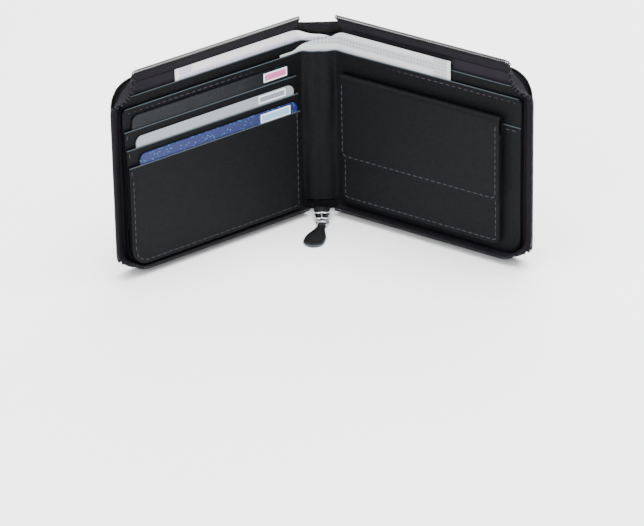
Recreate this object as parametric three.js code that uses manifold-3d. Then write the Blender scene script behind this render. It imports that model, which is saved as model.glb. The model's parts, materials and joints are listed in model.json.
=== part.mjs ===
// Zip-around wallet, standing half open on its bottom edges. Millimetres, +Z up.
// The origin is at the foot of the spine, X runs to the right and +Y to the back.
// Each cover has its own frame: d runs outwards from its fold at the spine, n inwards from
// the cover leather to the contents, and z up.
import * as THREE from 'three';
import { mergeVertices } from 'three/addons/utils/BufferGeometryUtils.js';
import Module from 'manifold-3d';

const wasm = await Module();
wasm.setup();

// ---- driving dimensions ----
const COVER_LENGTH = 101; // fold to outer edge
const COVER_HEIGHT = 94;
const COVER_RADIUS = 12;
const LEATHER = 1.0; // outer leather
const SPINE_HALF = 9.5; // half the distance between the two folds
const OPEN_ANGLE = 35; // each cover, forward of flat, at rest
const CLEARANCE = 0.3; // between pieces that pass or touch
const SLIP = 0.1; // between stacked flat layers
const THIN_LEATHER = 0.4; // pocket leather, skived
const PANEL_LEATHER = 0.6;

const BOARD = 0.4;
const DIVIDER = 0.5;
const LINING = 0.35;
const LINING_INSET = 1.8;
const BOARD_INSET = 2.5;
const FOLD_MARGIN = 5.2; // the pockets stop this far from the fold
const DIVIDER_MARGIN = 3.6; // and the divider and the banknotes this far

const DIVIDER_TOP = COVER_HEIGHT - 7.8;
const DIVIDER_RADIUS = 6; // its upper outer corner
const PANEL_TOP = COVER_HEIGHT - 12.5;
const PANEL_RADIUS = 1.5;
const NOTE_ROOM = 0.9; // space for banknotes on either side of the divider
const NOTE = 0.3;
const NOTE_FOOT = 15;
const NOTE_TOP = COVER_HEIGHT - 2.1;
const REAR_NOTE_REACH = [68, 62]; // how far each half runs out, left then right
const FRONT_NOTE_REACH = [12, 61];
const NOTE_BEND = [3.2, 4.7]; // fold to the flat middle of the rear and the front note

const TAPE_INSET = 1.5; // tape to cover edge, at the side and top
const TAPE_THICKNESS = 0.6;
const TAPE_WIDTH = 5.0;
const TAPE_START = 1.5; // gap from the fold to the tape's end
const TAPE_CORNER_FOOT = 9.5; // radius of the tape round the bottom corner
const TAPE_CORNER_TOP = 10.5;
const TOP_FLARE = 66; // how far the open zip leans out along the top, degrees
const SIDE_FLARE = 50;
const COIL_WIDTH = 1.9;
const COIL_THICKNESS = 1.9;

const CARD_WIDTH = 85.6;
const CARD_HEIGHT = 54;
const CARD = 0.76;
const CARD_RADIUS = 3.18;
const SLOT_TOPS = [71.3, 62.9, 54.7];
const CARD_STARTS = [8.2, 7.2, 6.4];

const COIN_START = 5.4;
const COIN_WIDTH = 83.5;
const COIN_TOP = 70.5;
const COIN_FOOT = 9;
const COIN_DEPTH = 1.5;
const COIN_RADIUS = 3;
const COIN_WALL = 2.5; // the folded side wall, from the pocket's edge inwards
const COIN_MOUTH = 8; // fold of the flap to the mouth of the pocket
const FLAP_WIDTH = 84.5;
const FLAP_HEIGHT = 40;
const FLAP_RADIUS = 4;
const SLIP_POCKET_TOP = 68;
const STUD_RADIUS = 5;
const STUD = 0.25;
const STUD_RISE = 9; // from the flap's lower edge

const SPINE_INSET = 2.1; // fold to the edge of the spine's lining
const DIVIDER_BEND = 3.7; // fold to the flat strip of the divider in the spine
const PANEL_BEND = 5.3; // and to that of the panel
const ZIP_END_INSET = 3; // fold to the folded end of the zip tape

const SLIDER_AT = 10; // spine to slider centre, parked
const SLIDER_LENGTH = 10;
const SLIDER_MOUTH = 7.6;
const SLIDER_TAIL = 6.6;
const SLIDER_PLATE = 0.6;
const SLIDER_GAP = 0.2; // between the zip's teeth and each plate
const SLIDER_NOTCH = 1.2; // how far the mouth runs in between its lobes
const SLIDER_ROUND = 2; // corners of the mouth
const TAIL_ROUND = 1;
const POST = [1.4, 3.4]; // from the slider's middle, along it
const POST_HALF = 0.2;
const BRIDGE_HALF = 1.6; // the bar below the slider, between its two legs
const BRIDGE_LEG = 0.5;
const LEG_HALF = 0.4;
const OVERLAP = 0.1; // how far joined pieces of metal run into each other
const BAR_Z = 0.9;
const BAR_RADIUS = 0.3;
const PULL_LENGTH = 9;
const PULL_WIDTH = 6.4;
const PULL_THICKNESS = 0.5;
const PULL_BAR = 0.8; // the far bar, which holds the tab
const PULL_WINDOW = 2.8; // from the start of the wide end to the tab's hinge
const PULL_EYE = [0.44, 0.78]; // inner and outer radius
const EYE_HALF = 1;
const PULL_TILT = 2;
const TAB_LENGTH = 20;
const TAB_WIDTH = 9;
const TAB_NECK = 3.4;
const TAB_EYE = [0.8, 1.15];
const TAB_EYE_HALF = 1.2;
const TAB_SHOULDER = [6, 9]; // where the strip's edge turns out and then runs straight
const TAB_TURN = 16; // the tab lies turned from the pull, degrees
const TAB_TILT = -1.2;

// The foot of the zip stands high enough to clear the slider's bridge and the pull's eye.
const TAPE_FOOT = BAR_Z + PULL_EYE[1] + 0.17 + SLIDER_PLATE + SLIDER_GAP + COIL_THICKNESS / 2;
const POCKET_FOOT = TAPE_FOOT + COIL_THICKNESS / 2 + SLIDER_GAP + SLIDER_PLATE + 0.35;
const SPINE_FOOT = POCKET_FOOT + 1.3; // foot of the strips in the spine
const CARD_TOPS = [78.0, 68.0, POCKET_FOOT + 0.2 + CARD_HEIGHT];
const SLOT_FOOTS = [23.6, 13.6, POCKET_FOOT];

// ---- heights in the stack, measured inwards from the middle of the cover leather ----
const N_BOARD = LEATHER / 2 + 0.15;
const N_LINING = N_BOARD + BOARD + 0.15;
const N_TAPE = N_LINING + LINING + 0.35;
const N_REAR_NOTE = N_LINING + LINING + CLEARANCE;
const N_DIVIDER = N_LINING + LINING + NOTE_ROOM + 0.15;
const N_FRONT_NOTE = N_DIVIDER + DIVIDER + CLEARANCE;
const N_PANEL = N_DIVIDER + DIVIDER + NOTE_ROOM;
const N_STACK = N_PANEL + PANEL_LEATHER + SLIP;
const N_COIL = N_TAPE + TAPE_WIDTH + CLEARANCE;
const RAD = Math.PI / 180;

// ---- helpers ----
const finish = (color, roughness, metalness = 0) => ({ color, roughness, metalness });
const OUTER = finish(0x101314, 0.42);
const INNER = finish(0x1c1e20, 0.6);
const CLOTH = finish(0x17151a, 0.85);
const COIL = finish(0x0c0c0e, 0.4);
const METAL = finish(0xc9ccd0, 0.25, 1);
const BOARD_GREY = finish(0x6b6658, 0.9);
const PAPER = finish(0xe9e6e2, 0.8);
const PAPER_GREY = finish(0xc6c9c8, 0.8);

function piece(name, geometry, look) {
  const mesh = new THREE.Mesh(geometry, new THREE.MeshStandardMaterial(look));
  mesh.name = name;
  return mesh;
}

// A rounded rectangle from (x0, y0) to (x1, y1); radii run from the foot at x0, anticlockwise.
function rounded(x0, y0, x1, y1, [a, b, c, e]) {
  const shape = new THREE.Shape();
  shape.moveTo(x0 + a, y0);
  shape.lineTo(x1 - b, y0);
  if (b) shape.absarc(x1 - b, y0 + b, b, -Math.PI / 2, 0);
  shape.lineTo(x1, y1 - c);
  if (c) shape.absarc(x1 - c, y1 - c, c, 0, Math.PI / 2);
  shape.lineTo(x0 + e, y1);
  if (e) shape.absarc(x0 + e, y1 - e, e, Math.PI / 2, Math.PI);
  shape.lineTo(x0, y0 + a);
  if (a) shape.absarc(x0 + a, y0 + a, a, Math.PI, 1.5 * Math.PI);
  return shape;
}

const extrude = (shape, depth) =>
  new THREE.ExtrudeGeometry(shape, { depth, bevelEnabled: false, curveSegments: 8 });

// A flat layer of a cover: its outline is drawn in d and z, and it fills n from low to high.
function layer(cover, shape, low, high) {
  const geometry = extrude(shape, high - low).rotateX(Math.PI / 2);
  return geometry.translate(0, cover.inward > 0 ? high : -low, 0);
}

// A flat layer of the spine, at a distance behind its outer leather's middle.
function spineLayer(halfWidth, foot, top, low, high) {
  const shape = rounded(-halfWidth, foot, halfWidth, top, [0, 0, 0, 0]);
  return extrude(shape, high - low).rotateX(Math.PI / 2).translate(0, -low, 0);
}

// Closes a run of four-cornered sections into one solid with its faces outwards.
function loft(rings) {
  const points = rings.flat();
  const sides = rings[0].length;
  const faces = [];
  for (let i = 0; i + 1 < rings.length; i++) {
    for (let k = 0; k < sides; k++) {
      const [a, b] = [i * sides + k, i * sides + ((k + 1) % sides)];
      faces.push(a, b, b + sides, a, b + sides, a + sides);
    }
  }
  const last = points.length - sides;
  for (let k = 1; k + 1 < sides; k++) {
    faces.push(0, k + 1, k, last, last + k, last + k + 1);
  }
  let volume = 0;
  for (let i = 0; i < faces.length; i += 3) {
    const [a, b, c] = [points[faces[i]], points[faces[i + 1]], points[faces[i + 2]]];
    volume += a.dot(b.clone().cross(c));
  }
  if (volume < 0) faces.reverse();
  const geometry = new THREE.BufferGeometry().setFromPoints(points);
  geometry.setIndex(faces);
  return geometry;
}

function solid(geometry) {
  const bare = geometry.clone();
  bare.deleteAttribute('normal');
  bare.deleteAttribute('uv');
  const merged = mergeVertices(bare, 1e-4);
  return new wasm.Manifold(new wasm.Mesh({
    numProp: 3,
    vertProperties: new Float32Array(merged.attributes.position.array),
    triVerts: new Uint32Array(merged.index.array),
  }));
}

function fromSolid(body) {
  const { vertProperties, triVerts } = body.getMesh();
  const geometry = new THREE.BufferGeometry();
  geometry.setAttribute('position', new THREE.BufferAttribute(vertProperties, 3));
  return geometry.setIndex(new THREE.BufferAttribute(triVerts, 1));
}

function joined(first, ...others) {
  return fromSolid(others.reduce((body, other) => body.add(solid(other)), solid(first)));
}

const box = (x0, x1, y0, y1, z0, z1) =>
  new THREE.BoxGeometry(x1 - x0, y1 - y0, z1 - z0)
    .translate((x0 + x1) / 2, (y0 + y1) / 2, (z0 + z1) / 2);

// ---- covers ----
const wallet = new THREE.Group();

function makeCover(side) {
  const right = side === 'right';
  const group = new THREE.Group();
  group.position.x = right ? SPINE_HALF : -SPINE_HALF;
  group.rotation.z = right ? -OPEN_ANGLE * RAD : Math.PI + OPEN_ANGLE * RAD;
  wallet.add(group);
  return { side, group, inward: right ? -1 : 1 };
}

function coverShell(cover) {
  const { side, group } = cover;
  const start = LEATHER / 2 + CLEARANCE;
  const edge = (inset) => rounded(
    start + inset, inset, COVER_LENGTH - inset, COVER_HEIGHT - inset,
    [0, COVER_RADIUS - inset, COVER_RADIUS - inset, 0]);
  group.add(
    piece(`${side}_cover_leather`, layer(cover, edge(0), -LEATHER / 2, LEATHER / 2), OUTER),
    piece(`${side}_board`, layer(cover, edge(BOARD_INSET), N_BOARD, N_BOARD + BOARD), BOARD_GREY),
    piece(`${side}_lining`, layer(cover, edge(LINING_INSET), N_LINING, N_LINING + LINING), CLOTH));
}

function coverPanels(cover) {
  const { side, group } = cover;
  const end = COVER_LENGTH - TAPE_INSET - COIL_THICKNESS / 2 - CLEARANCE;
  const foot = TAPE_FOOT + TAPE_THICKNESS / 2 + CLEARANCE;
  const round = TAPE_CORNER_FOOT - 1;
  const divider = rounded(DIVIDER_MARGIN, foot, end, DIVIDER_TOP, [0, round, DIVIDER_RADIUS, 0]);
  const panel = rounded(FOLD_MARGIN, foot, end, PANEL_TOP, [0, round, PANEL_RADIUS, 0]);
  group.add(
    piece(`${side}_divider`, layer(cover, divider, N_DIVIDER, N_DIVIDER + DIVIDER), INNER),
    piece(`${side}_panel`, layer(cover, panel, N_PANEL, N_PANEL + PANEL_LEATHER), INNER));
  return { end, round };
}

// ---- zip ----
// Points along the zip, each with the direction that leads out of the wallet.
function straight(from, to, out) {
  return [from, to].map(([d, z]) => ({ d, z, out }));
}

function corner(centre, radius, from, to) {
  const steps = 10;
  return Array.from({ length: steps + 1 }, (_, i) => {
    const angle = (from + ((to - from) * i) / steps) * RAD;
    const out = [Math.cos(angle), Math.sin(angle)];
    return { d: centre[0] + radius * out[0], z: centre[1] + radius * out[1], out };
  });
}

// A band that stands on the path and is leant outwards by lean degrees.
function band(cover, path, from, to, thickness, lean) {
  const [s, c] = [Math.sin(lean * RAD), Math.cos(lean * RAD)];
  const half = thickness / 2;
  const section = [[from, -half], [to, -half], [to, half], [from, half]];
  return loft(path.map(({ d, z, out }) => section.map(([w, t]) => {
    const outwards = w * s + t * c;
    const n = N_TAPE + w * c - t * s;
    return new THREE.Vector3(d + out[0] * outwards, cover.inward * n, z + out[1] * outwards);
  })));
}

function zipRun(cover, run, path, lean) {
  const coilFrom = N_COIL - N_TAPE;
  cover.group.add(
    piece(`${cover.side}_tape_${run}`, band(cover, path, 0, TAPE_WIDTH, TAPE_THICKNESS, lean), CLOTH),
    piece(`${cover.side}_coil_${run}`,
      band(cover, path, coilFrom, coilFrom + COIL_WIDTH, COIL_THICKNESS, lean), COIL));
}

function zip(cover) {
  const side = COVER_LENGTH - TAPE_INSET;
  const top = COVER_HEIGHT - TAPE_INSET;
  const low = [side - TAPE_CORNER_FOOT, TAPE_FOOT + TAPE_CORNER_FOOT];
  const high = [side - TAPE_CORNER_TOP, top - TAPE_CORNER_TOP];
  zipRun(cover, 'bottom', [
    { d: TAPE_START, z: TAPE_FOOT, out: [0, -1] },
    ...corner(low, TAPE_CORNER_FOOT, -90, 0)], 0);
  zipRun(cover, 'side', straight(
    [side, low[1] + CLEARANCE], [side, high[1] - CLEARANCE], [1, 0]), SIDE_FLARE);
  zipRun(cover, 'corner', corner(high, TAPE_CORNER_TOP, 0, 90), 0);
  zipRun(cover, 'top', straight(
    [high[0] - CLEARANCE, top], [TAPE_START, top], [0, 1]), TOP_FLARE);
}

// ---- left cover: three card slots and a pocket ----
function cardSlots(cover, { end, round }) {
  const names = ['card_slot_1', 'card_slot_2', 'card_pocket'];
  let n = N_STACK;
  names.forEach((name, i) => {
    const start = CARD_STARTS[i];
    const foot = CARD_TOPS[i] - CARD_HEIGHT;
    const card = rounded(start, foot, start + CARD_WIDTH, CARD_TOPS[i], Array(4).fill(CARD_RADIUS));
    const finishes = [finish(0x101820, 0.4), finish(0xaab2b8, 0.4), finish(0x23306e, 0.4)];
    cover.group.add(piece(`card_${i + 1}`, layer(cover, card, n, n + CARD), finishes[i]));
    n += CARD + SLIP;
    const corners = i === 2 ? [0, round, 0, 0] : [0, 0, 0, 0];
    const slot = rounded(FOLD_MARGIN, SLOT_FOOTS[i], end, SLOT_TOPS[i], corners);
    cover.group.add(piece(name, layer(cover, slot, n, n + THIN_LEATHER), INNER));
    n += THIN_LEATHER + SLIP;
  });
}

// ---- right cover: slip pocket and coin pocket ----
function disc(cover, d, z, low, high) {
  const shape = new THREE.Shape().absarc(d, z, STUD_RADIUS, 0, 2 * Math.PI);
  return layer(cover, shape, low, high);
}

function coinPocket(cover, { end, round }) {
  const { group } = cover;
  const slip = rounded(FOLD_MARGIN, POCKET_FOOT, end, SLIP_POCKET_TOP, [0, round, 0, 0]);
  group.add(piece('slip_pocket', layer(cover, slip, N_STACK, N_STACK + THIN_LEATHER), INNER));

  const coinEnd = COIN_START + COIN_WIDTH;
  const corners = [COIN_RADIUS, COIN_RADIUS, 0, 0];
  const back = N_STACK + THIN_LEATHER + SLIP;
  const room = back + THIN_LEATHER + SLIP;
  const front = room + COIN_DEPTH + SLIP;
  const frontTop = COIN_TOP - COIN_MOUTH;
  const sheet = (top) => rounded(COIN_START, COIN_FOOT, coinEnd, top, corners);
  const inside = rounded(COIN_START + COIN_WALL, COIN_FOOT + COIN_WALL,
    coinEnd - COIN_WALL, frontTop + 1, [0, 0, 0, 0]);
  const frame = solid(layer(cover, sheet(frontTop), room, room + COIN_DEPTH))
    .subtract(solid(layer(cover, inside, room - 1, room + COIN_DEPTH + 1)));
  group.add(
    piece('coin_pocket_back', layer(cover, sheet(COIN_TOP), back, back + THIN_LEATHER), INNER),
    piece('coin_pocket_gusset', fromSolid(frame), CLOTH),
    piece('coin_pocket_front', layer(cover, sheet(frontTop), front, front + THIN_LEATHER), INNER));

  const studAt = [(COIN_START + coinEnd) / 2, COIN_TOP - FLAP_HEIGHT + STUD_RISE];
  const socket = front + THIN_LEATHER + SLIP;
  const cap = socket + STUD + SLIP;
  const flap = cap + STUD + SLIP;
  const flapStart = COIN_START + (COIN_WIDTH - FLAP_WIDTH) / 2;
  const flapShape = rounded(
    flapStart, COIN_TOP - FLAP_HEIGHT, flapStart + FLAP_WIDTH, COIN_TOP,
    [FLAP_RADIUS, FLAP_RADIUS, 0, 0]);
  group.add(
    piece('stud_socket', disc(cover, ...studAt, socket, socket + STUD), METAL),
    piece('stud_cap', disc(cover, ...studAt, cap, cap + STUD), METAL),
    piece('coin_flap', layer(cover, flapShape, flap, flap + PANEL_LEATHER), INNER));
}

// ---- banknotes, each in three leaves that meet at the folds ----
function noteLeaf(cover, name, reach, foot, top, n, look) {
  const shape = rounded(DIVIDER_MARGIN, foot, reach, top, [0, 0, 0, 0]);
  cover.group.add(piece(name, layer(cover, shape, n, n + NOTE), look));
}

function bankNotes(leftCover, rightCover) {
  const rear = [N_REAR_NOTE, PAPER];
  const front = [N_FRONT_NOTE, PAPER_GREY];
  noteLeaf(leftCover, 'rear_note_left', REAR_NOTE_REACH[0], NOTE_FOOT, NOTE_TOP, ...rear);
  noteLeaf(rightCover, 'rear_note_right', REAR_NOTE_REACH[1], NOTE_FOOT, PANEL_TOP + 3, ...rear);
  noteLeaf(leftCover, 'front_note_left', FRONT_NOTE_REACH[0], NOTE_FOOT, PANEL_TOP + 1, ...front);
  noteLeaf(rightCover, 'front_note_right', FRONT_NOTE_REACH[1], NOTE_FOOT, NOTE_TOP - 1, ...front);
  const middle = (name, bend, top, [n, look]) =>
    wallet.add(piece(name, spineLayer(SPINE_HALF - bend, NOTE_FOOT, top, n, n + NOTE), look));
  middle('rear_note_middle', NOTE_BEND[0], NOTE_TOP - 3, rear);
  middle('front_note_middle', NOTE_BEND[1], NOTE_TOP - 5, front);
}

// ---- spine ----
function spine() {
  const strip = (inset, foot, top, n, thickness) =>
    spineLayer(SPINE_HALF - inset, foot, top, n, n + thickness);
  const endLow = LEATHER / 2 + CLEARANCE;
  const endHigh = TAPE_START - 0.2;
  wallet.add(
    piece('spine_leather', strip(CLEARANCE, 0, COVER_HEIGHT, -LEATHER / 2, LEATHER), OUTER),
    piece('spine_lining',
      strip(SPINE_INSET, SPINE_FOOT + 1, COVER_HEIGHT - 6, LEATHER / 2 + 0.25, LINING), CLOTH),
    piece('spine_divider', strip(DIVIDER_BEND, SPINE_FOOT, DIVIDER_TOP, N_DIVIDER, DIVIDER), INNER),
    piece('spine_panel', strip(PANEL_BEND, SPINE_FOOT, PANEL_TOP, N_PANEL, PANEL_LEATHER), INNER));
  const half = SPINE_HALF - ZIP_END_INSET;
  const end = (z) => box(-half, half, -endHigh, -endLow, z - TAPE_THICKNESS, z + TAPE_THICKNESS);
  wallet.add(
    piece('zip_end_top', end(COVER_HEIGHT - TAPE_INSET), CLOTH),
    piece('zip_end_bottom', end(TAPE_FOOT), CLOTH));
}

// ---- slider and pull; the slider is drawn with its mouth towards +X ----
function sliderPlate(low, high) {
  const [half, tail, mouth] = [SLIDER_LENGTH / 2, SLIDER_TAIL / 2, SLIDER_MOUTH / 2];
  const shape = new THREE.Shape();
  shape.moveTo(-half, -tail + TAIL_ROUND);
  shape.quadraticCurveTo(-half, -tail, -half + TAIL_ROUND, -tail);
  shape.lineTo(half - SLIDER_ROUND, -mouth);
  shape.quadraticCurveTo(half, -mouth, half, -mouth + SLIDER_ROUND);
  shape.lineTo(half - SLIDER_NOTCH, 0);
  shape.lineTo(half, mouth - SLIDER_ROUND);
  shape.quadraticCurveTo(half, mouth, half - SLIDER_ROUND, mouth);
  shape.lineTo(-half + TAIL_ROUND, tail);
  shape.quadraticCurveTo(-half, tail, -half, tail - TAIL_ROUND);
  return extrude(shape, high - low).translate(0, 0, low);
}

function slider() {
  const reach = COIL_THICKNESS / 2 + SLIDER_GAP;
  const outer = [TAPE_FOOT - reach - SLIDER_PLATE, TAPE_FOOT - reach];
  const inner = [TAPE_FOOT + reach, TAPE_FOOT + reach + SLIDER_PLATE];
  const leg = (y) => box(-LEG_HALF, LEG_HALF, y, y + BRIDGE_LEG, BAR_Z - LEG_HALF + 0.05,
    outer[0] + OVERLAP);
  const bar = new THREE.CylinderGeometry(BAR_RADIUS, BAR_RADIUS, 2 * (BRIDGE_HALF + OVERLAP), 16)
    .translate(0, 0, BAR_Z);
  const post = box(...POST, -POST_HALF, POST_HALF, outer[1] - OVERLAP, inner[0] + OVERLAP);
  return joined(sliderPlate(...outer), sliderPlate(...inner), post,
    leg(BRIDGE_HALF), leg(-BRIDGE_HALF - BRIDGE_LEG), bar);
}

// An eye round a bar along X, at the origin.
function eye(inner, outer, halfLength) {
  const shape = new THREE.Shape().absarc(0, 0, outer, 0, 2 * Math.PI);
  shape.holes.push(new THREE.Path().absarc(0, 0, inner, 0, 2 * Math.PI));
  return extrude(shape, 2 * halfLength).translate(0, 0, -halfLength).rotateY(Math.PI / 2);
}

// The pull runs along +Y from the slider's bar, at the origin, to the bar that holds the tab.
function pull() {
  const [half, near, far] = [PULL_WIDTH / 2, PULL_LENGTH - PULL_WINDOW, PULL_LENGTH + PULL_BAR / 2];
  const shape = new THREE.Shape([[-EYE_HALF, 0.6], [EYE_HALF, 0.6], [half, near], [half, far],
    [-half, far], [-half, near]].map((p) => new THREE.Vector2(...p)));
  const window = half - PULL_BAR;
  shape.holes.push(new THREE.Path([[-window, far - PULL_BAR], [window, far - PULL_BAR],
    [window, near + 0.6], [-window, near + 0.6]].map((p) => new THREE.Vector2(...p))));
  const plate = extrude(shape, PULL_THICKNESS).translate(0, 0, -PULL_THICKNESS / 2);
  return joined(eye(...PULL_EYE, EYE_HALF), plate);
}

// The tab is a strip folded double over the pull's bar, which is at the origin.
function tab() {
  const [neck, half] = [TAB_NECK / 2, TAB_WIDTH / 2];
  const shape = new THREE.Shape();
  shape.moveTo(-neck, 1);
  shape.lineTo(neck, 1);
  shape.bezierCurveTo(neck + 0.6, TAB_SHOULDER[0], half, TAB_SHOULDER[1], half, TAB_LENGTH - half);
  shape.absarc(0, TAB_LENGTH - half, half, 0, Math.PI);
  shape.bezierCurveTo(-half, TAB_SHOULDER[1], -neck - 0.6, TAB_SHOULDER[0], -neck, 1);
  const leaf = extrude(shape, 2 * PANEL_LEATHER).translate(0, 0, -PANEL_LEATHER);
  return joined(eye(...TAB_EYE, TAB_EYE_HALF), leaf);
}

function runner() {
  const at = new THREE.Group();
  at.position.y = -SLIDER_AT;
  wallet.add(at);
  const body = piece('slider_body', slider(), METAL);
  body.rotation.z = -Math.PI / 2;
  at.add(body);

  const swing = new THREE.Group();
  swing.position.z = BAR_Z;
  swing.rotation.set(-PULL_TILT * RAD, 0, Math.PI);
  at.add(swing);
  swing.add(piece('pull_plate', pull(), METAL));

  const hold = new THREE.Group();
  hold.position.y = PULL_LENGTH;
  hold.rotation.set((TAB_TILT - PULL_TILT) * RAD, 0, -TAB_TURN * RAD);
  swing.add(hold);
  hold.add(piece('pull_tab', tab(), OUTER));
}

const left = makeCover('left');
const right = makeCover('right');
for (const cover of [left, right]) {
  coverShell(cover);
  zip(cover);
}
cardSlots(left, coverPanels(left));
coinPocket(right, coverPanels(right));
bankNotes(left, right);
spine();
runner();

export default wallet;
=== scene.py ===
import json
import math

import bmesh
import bpy
from mathutils import Matrix, Vector, noise
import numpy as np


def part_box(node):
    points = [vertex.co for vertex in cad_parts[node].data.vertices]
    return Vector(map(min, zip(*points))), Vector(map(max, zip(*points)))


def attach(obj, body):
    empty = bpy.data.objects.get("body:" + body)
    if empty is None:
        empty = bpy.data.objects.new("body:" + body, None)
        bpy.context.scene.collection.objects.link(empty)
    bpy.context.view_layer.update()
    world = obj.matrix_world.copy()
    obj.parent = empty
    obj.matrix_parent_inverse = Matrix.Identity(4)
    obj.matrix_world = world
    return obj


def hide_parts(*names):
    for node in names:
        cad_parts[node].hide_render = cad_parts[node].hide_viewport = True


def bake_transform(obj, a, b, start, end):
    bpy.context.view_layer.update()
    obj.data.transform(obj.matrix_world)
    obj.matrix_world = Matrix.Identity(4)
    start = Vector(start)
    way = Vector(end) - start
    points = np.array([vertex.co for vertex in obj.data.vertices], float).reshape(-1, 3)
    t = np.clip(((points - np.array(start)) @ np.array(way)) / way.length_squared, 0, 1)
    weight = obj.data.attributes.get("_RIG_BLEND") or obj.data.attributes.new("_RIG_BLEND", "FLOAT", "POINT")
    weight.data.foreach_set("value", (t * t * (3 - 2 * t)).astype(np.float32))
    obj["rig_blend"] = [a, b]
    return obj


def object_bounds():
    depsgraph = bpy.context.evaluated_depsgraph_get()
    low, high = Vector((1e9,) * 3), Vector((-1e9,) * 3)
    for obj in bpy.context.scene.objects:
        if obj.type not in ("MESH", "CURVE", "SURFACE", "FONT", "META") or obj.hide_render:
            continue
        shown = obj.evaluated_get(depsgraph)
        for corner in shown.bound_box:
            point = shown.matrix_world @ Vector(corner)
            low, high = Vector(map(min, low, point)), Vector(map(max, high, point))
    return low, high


bl_info = {
    "name": "Zip Around Wallet",
    "version": (1, 0, 0),
    "blender": (4, 5, 0),
    "location": "3D View > Sidebar > Wallet",
    "description": "Builds a leather zip around wallet around its fixed frame",
    "category": "Add Mesh",
}

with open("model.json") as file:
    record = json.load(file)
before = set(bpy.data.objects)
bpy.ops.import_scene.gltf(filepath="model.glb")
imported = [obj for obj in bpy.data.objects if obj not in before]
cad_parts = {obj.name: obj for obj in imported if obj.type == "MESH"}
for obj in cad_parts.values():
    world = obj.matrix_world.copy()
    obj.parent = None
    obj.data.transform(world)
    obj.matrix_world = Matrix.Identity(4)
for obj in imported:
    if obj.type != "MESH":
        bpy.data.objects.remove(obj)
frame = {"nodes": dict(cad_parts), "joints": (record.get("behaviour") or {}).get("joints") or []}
CAD_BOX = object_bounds()
JOINTS = {joint["name"]: joint for joint in frame["joints"]}

MM = 0.001
# ---- places read from the frame ----
FOLD = JOINTS["right_cover_hinge"]["pos_m"][0]
OPEN = math.atan2(-JOINTS["left_top_tape_fold"]["axis"][1], -JOINTS["left_top_tape_fold"]["axis"][0])
FLARE = {kind: math.radians(-JOINTS[f"left_{kind}_tape_fold"]["range_deg"][0])
         for kind in ("side", "top")}
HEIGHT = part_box("spine_leather")[1][2]
PULL_AT = Vector(JOINTS["pull_swing"]["pos_m"])
TAB_AT = Vector(JOINTS["tab_hinge"]["pos_m"])

# ---- sizes shared by several pieces ----
FOLD_RAMP = 5 * MM  # each side of a fold, the leather takes this far to turn
CORNER_SHARE = math.pi / 4  # the zip begins to lean out half way round each corner
RAMP_END = 2.5 * MM  # and is fully out this far before the straight begins
COIL_PITCH = 1.08 * MM
COIL_MIDDLE = 6.3 * MM  # from the tape's seam to the middle of the teeth
TAPE_EDGE = 5.8 * MM
FOOT_CORNER = 9.5 * MM  # radius of the zip round the bottom corner
TOP_CORNER = 10.5 * MM
BINDING = 1.1 * MM  # thickness of the cover's turned edge


class WalletSizes(bpy.types.PropertyGroup):
    """Sizes of the sewn detail."""

    stitch_length: bpy.props.FloatProperty(
        name="Stitch length", description="Length of one stitch",
        default=2.3 * MM, unit="LENGTH")
    stitch_pitch: bpy.props.FloatProperty(
        name="Stitch pitch", description="From one stitch to the next",
        default=3.1 * MM, unit="LENGTH")
    stitch_width: bpy.props.FloatProperty(
        name="Thread thickness", description="Thickness of the thread",
        default=0.42 * MM, unit="LENGTH")
    seam_inset: bpy.props.FloatProperty(
        name="Seam inset", description="From a leather edge to its seam",
        default=1.9 * MM, unit="LENGTH")
    edge_bead: bpy.props.FloatProperty(
        name="Turned edge", description="Radius of the turned edge of a pocket",
        default=0.3 * MM, unit="LENGTH")
    leather: bpy.props.FloatProperty(
        name="Cover leather", description="Thickness of the cover leather",
        default=1.0 * MM, unit="LENGTH")
    wave: bpy.props.FloatProperty(
        name="Leather wave", description="How far soft leather waves out of flat",
        default=0.16 * MM, unit="LENGTH")


class WalletColours(bpy.types.PropertyGroup):
    """Colours of the leather, thread, zip and contents."""

    outer: bpy.props.FloatVectorProperty(
        name="Outer leather", description="Colour of the cover leather",
        default=(0.0014, 0.0015, 0.0018), subtype="COLOR")
    inner: bpy.props.FloatVectorProperty(
        name="Inner leather", description="Colour of the pocket leather",
        default=(0.001, 0.0012, 0.0017), subtype="COLOR")
    # edge: painted highlight. The turned edges get a paler blue-grey than the leather, to stand for the
    # light they catch.
    edge: bpy.props.FloatVectorProperty(
        name="Turned edge", description="Colour of the turned pocket edges",
        default=(0.022, 0.032, 0.04), subtype="COLOR")
    thread: bpy.props.FloatVectorProperty(
        name="Thread", description="Colour of the thread",
        default=(0.04, 0.035, 0.05), subtype="COLOR")
    tape: bpy.props.FloatVectorProperty(
        name="Zip tape", description="Colour of the zip tape",
        default=(0.006, 0.0048, 0.0075), subtype="COLOR")
    coil: bpy.props.FloatVectorProperty(
        name="Zip teeth", description="Colour of the nylon teeth",
        default=(0.004, 0.004, 0.005), subtype="COLOR")
    metal: bpy.props.FloatVectorProperty(
        name="Zip metal", description="Colour of the slider and pull",
        default=(0.72, 0.73, 0.75), subtype="COLOR")
    foil: bpy.props.FloatVectorProperty(
        name="Foil", description="Colour of the pressed ornament",
        default=(0.62, 0.45, 0.2), subtype="COLOR")


def sizes():
    return bpy.context.scene.wallet_sizes


def colours():
    return bpy.context.scene.wallet_colours


# ---- places on the covers ----
def smoothstep(t):
    t = min(max(t, 0.0), 1.0)
    return t * t * (3 - 2 * t)


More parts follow.
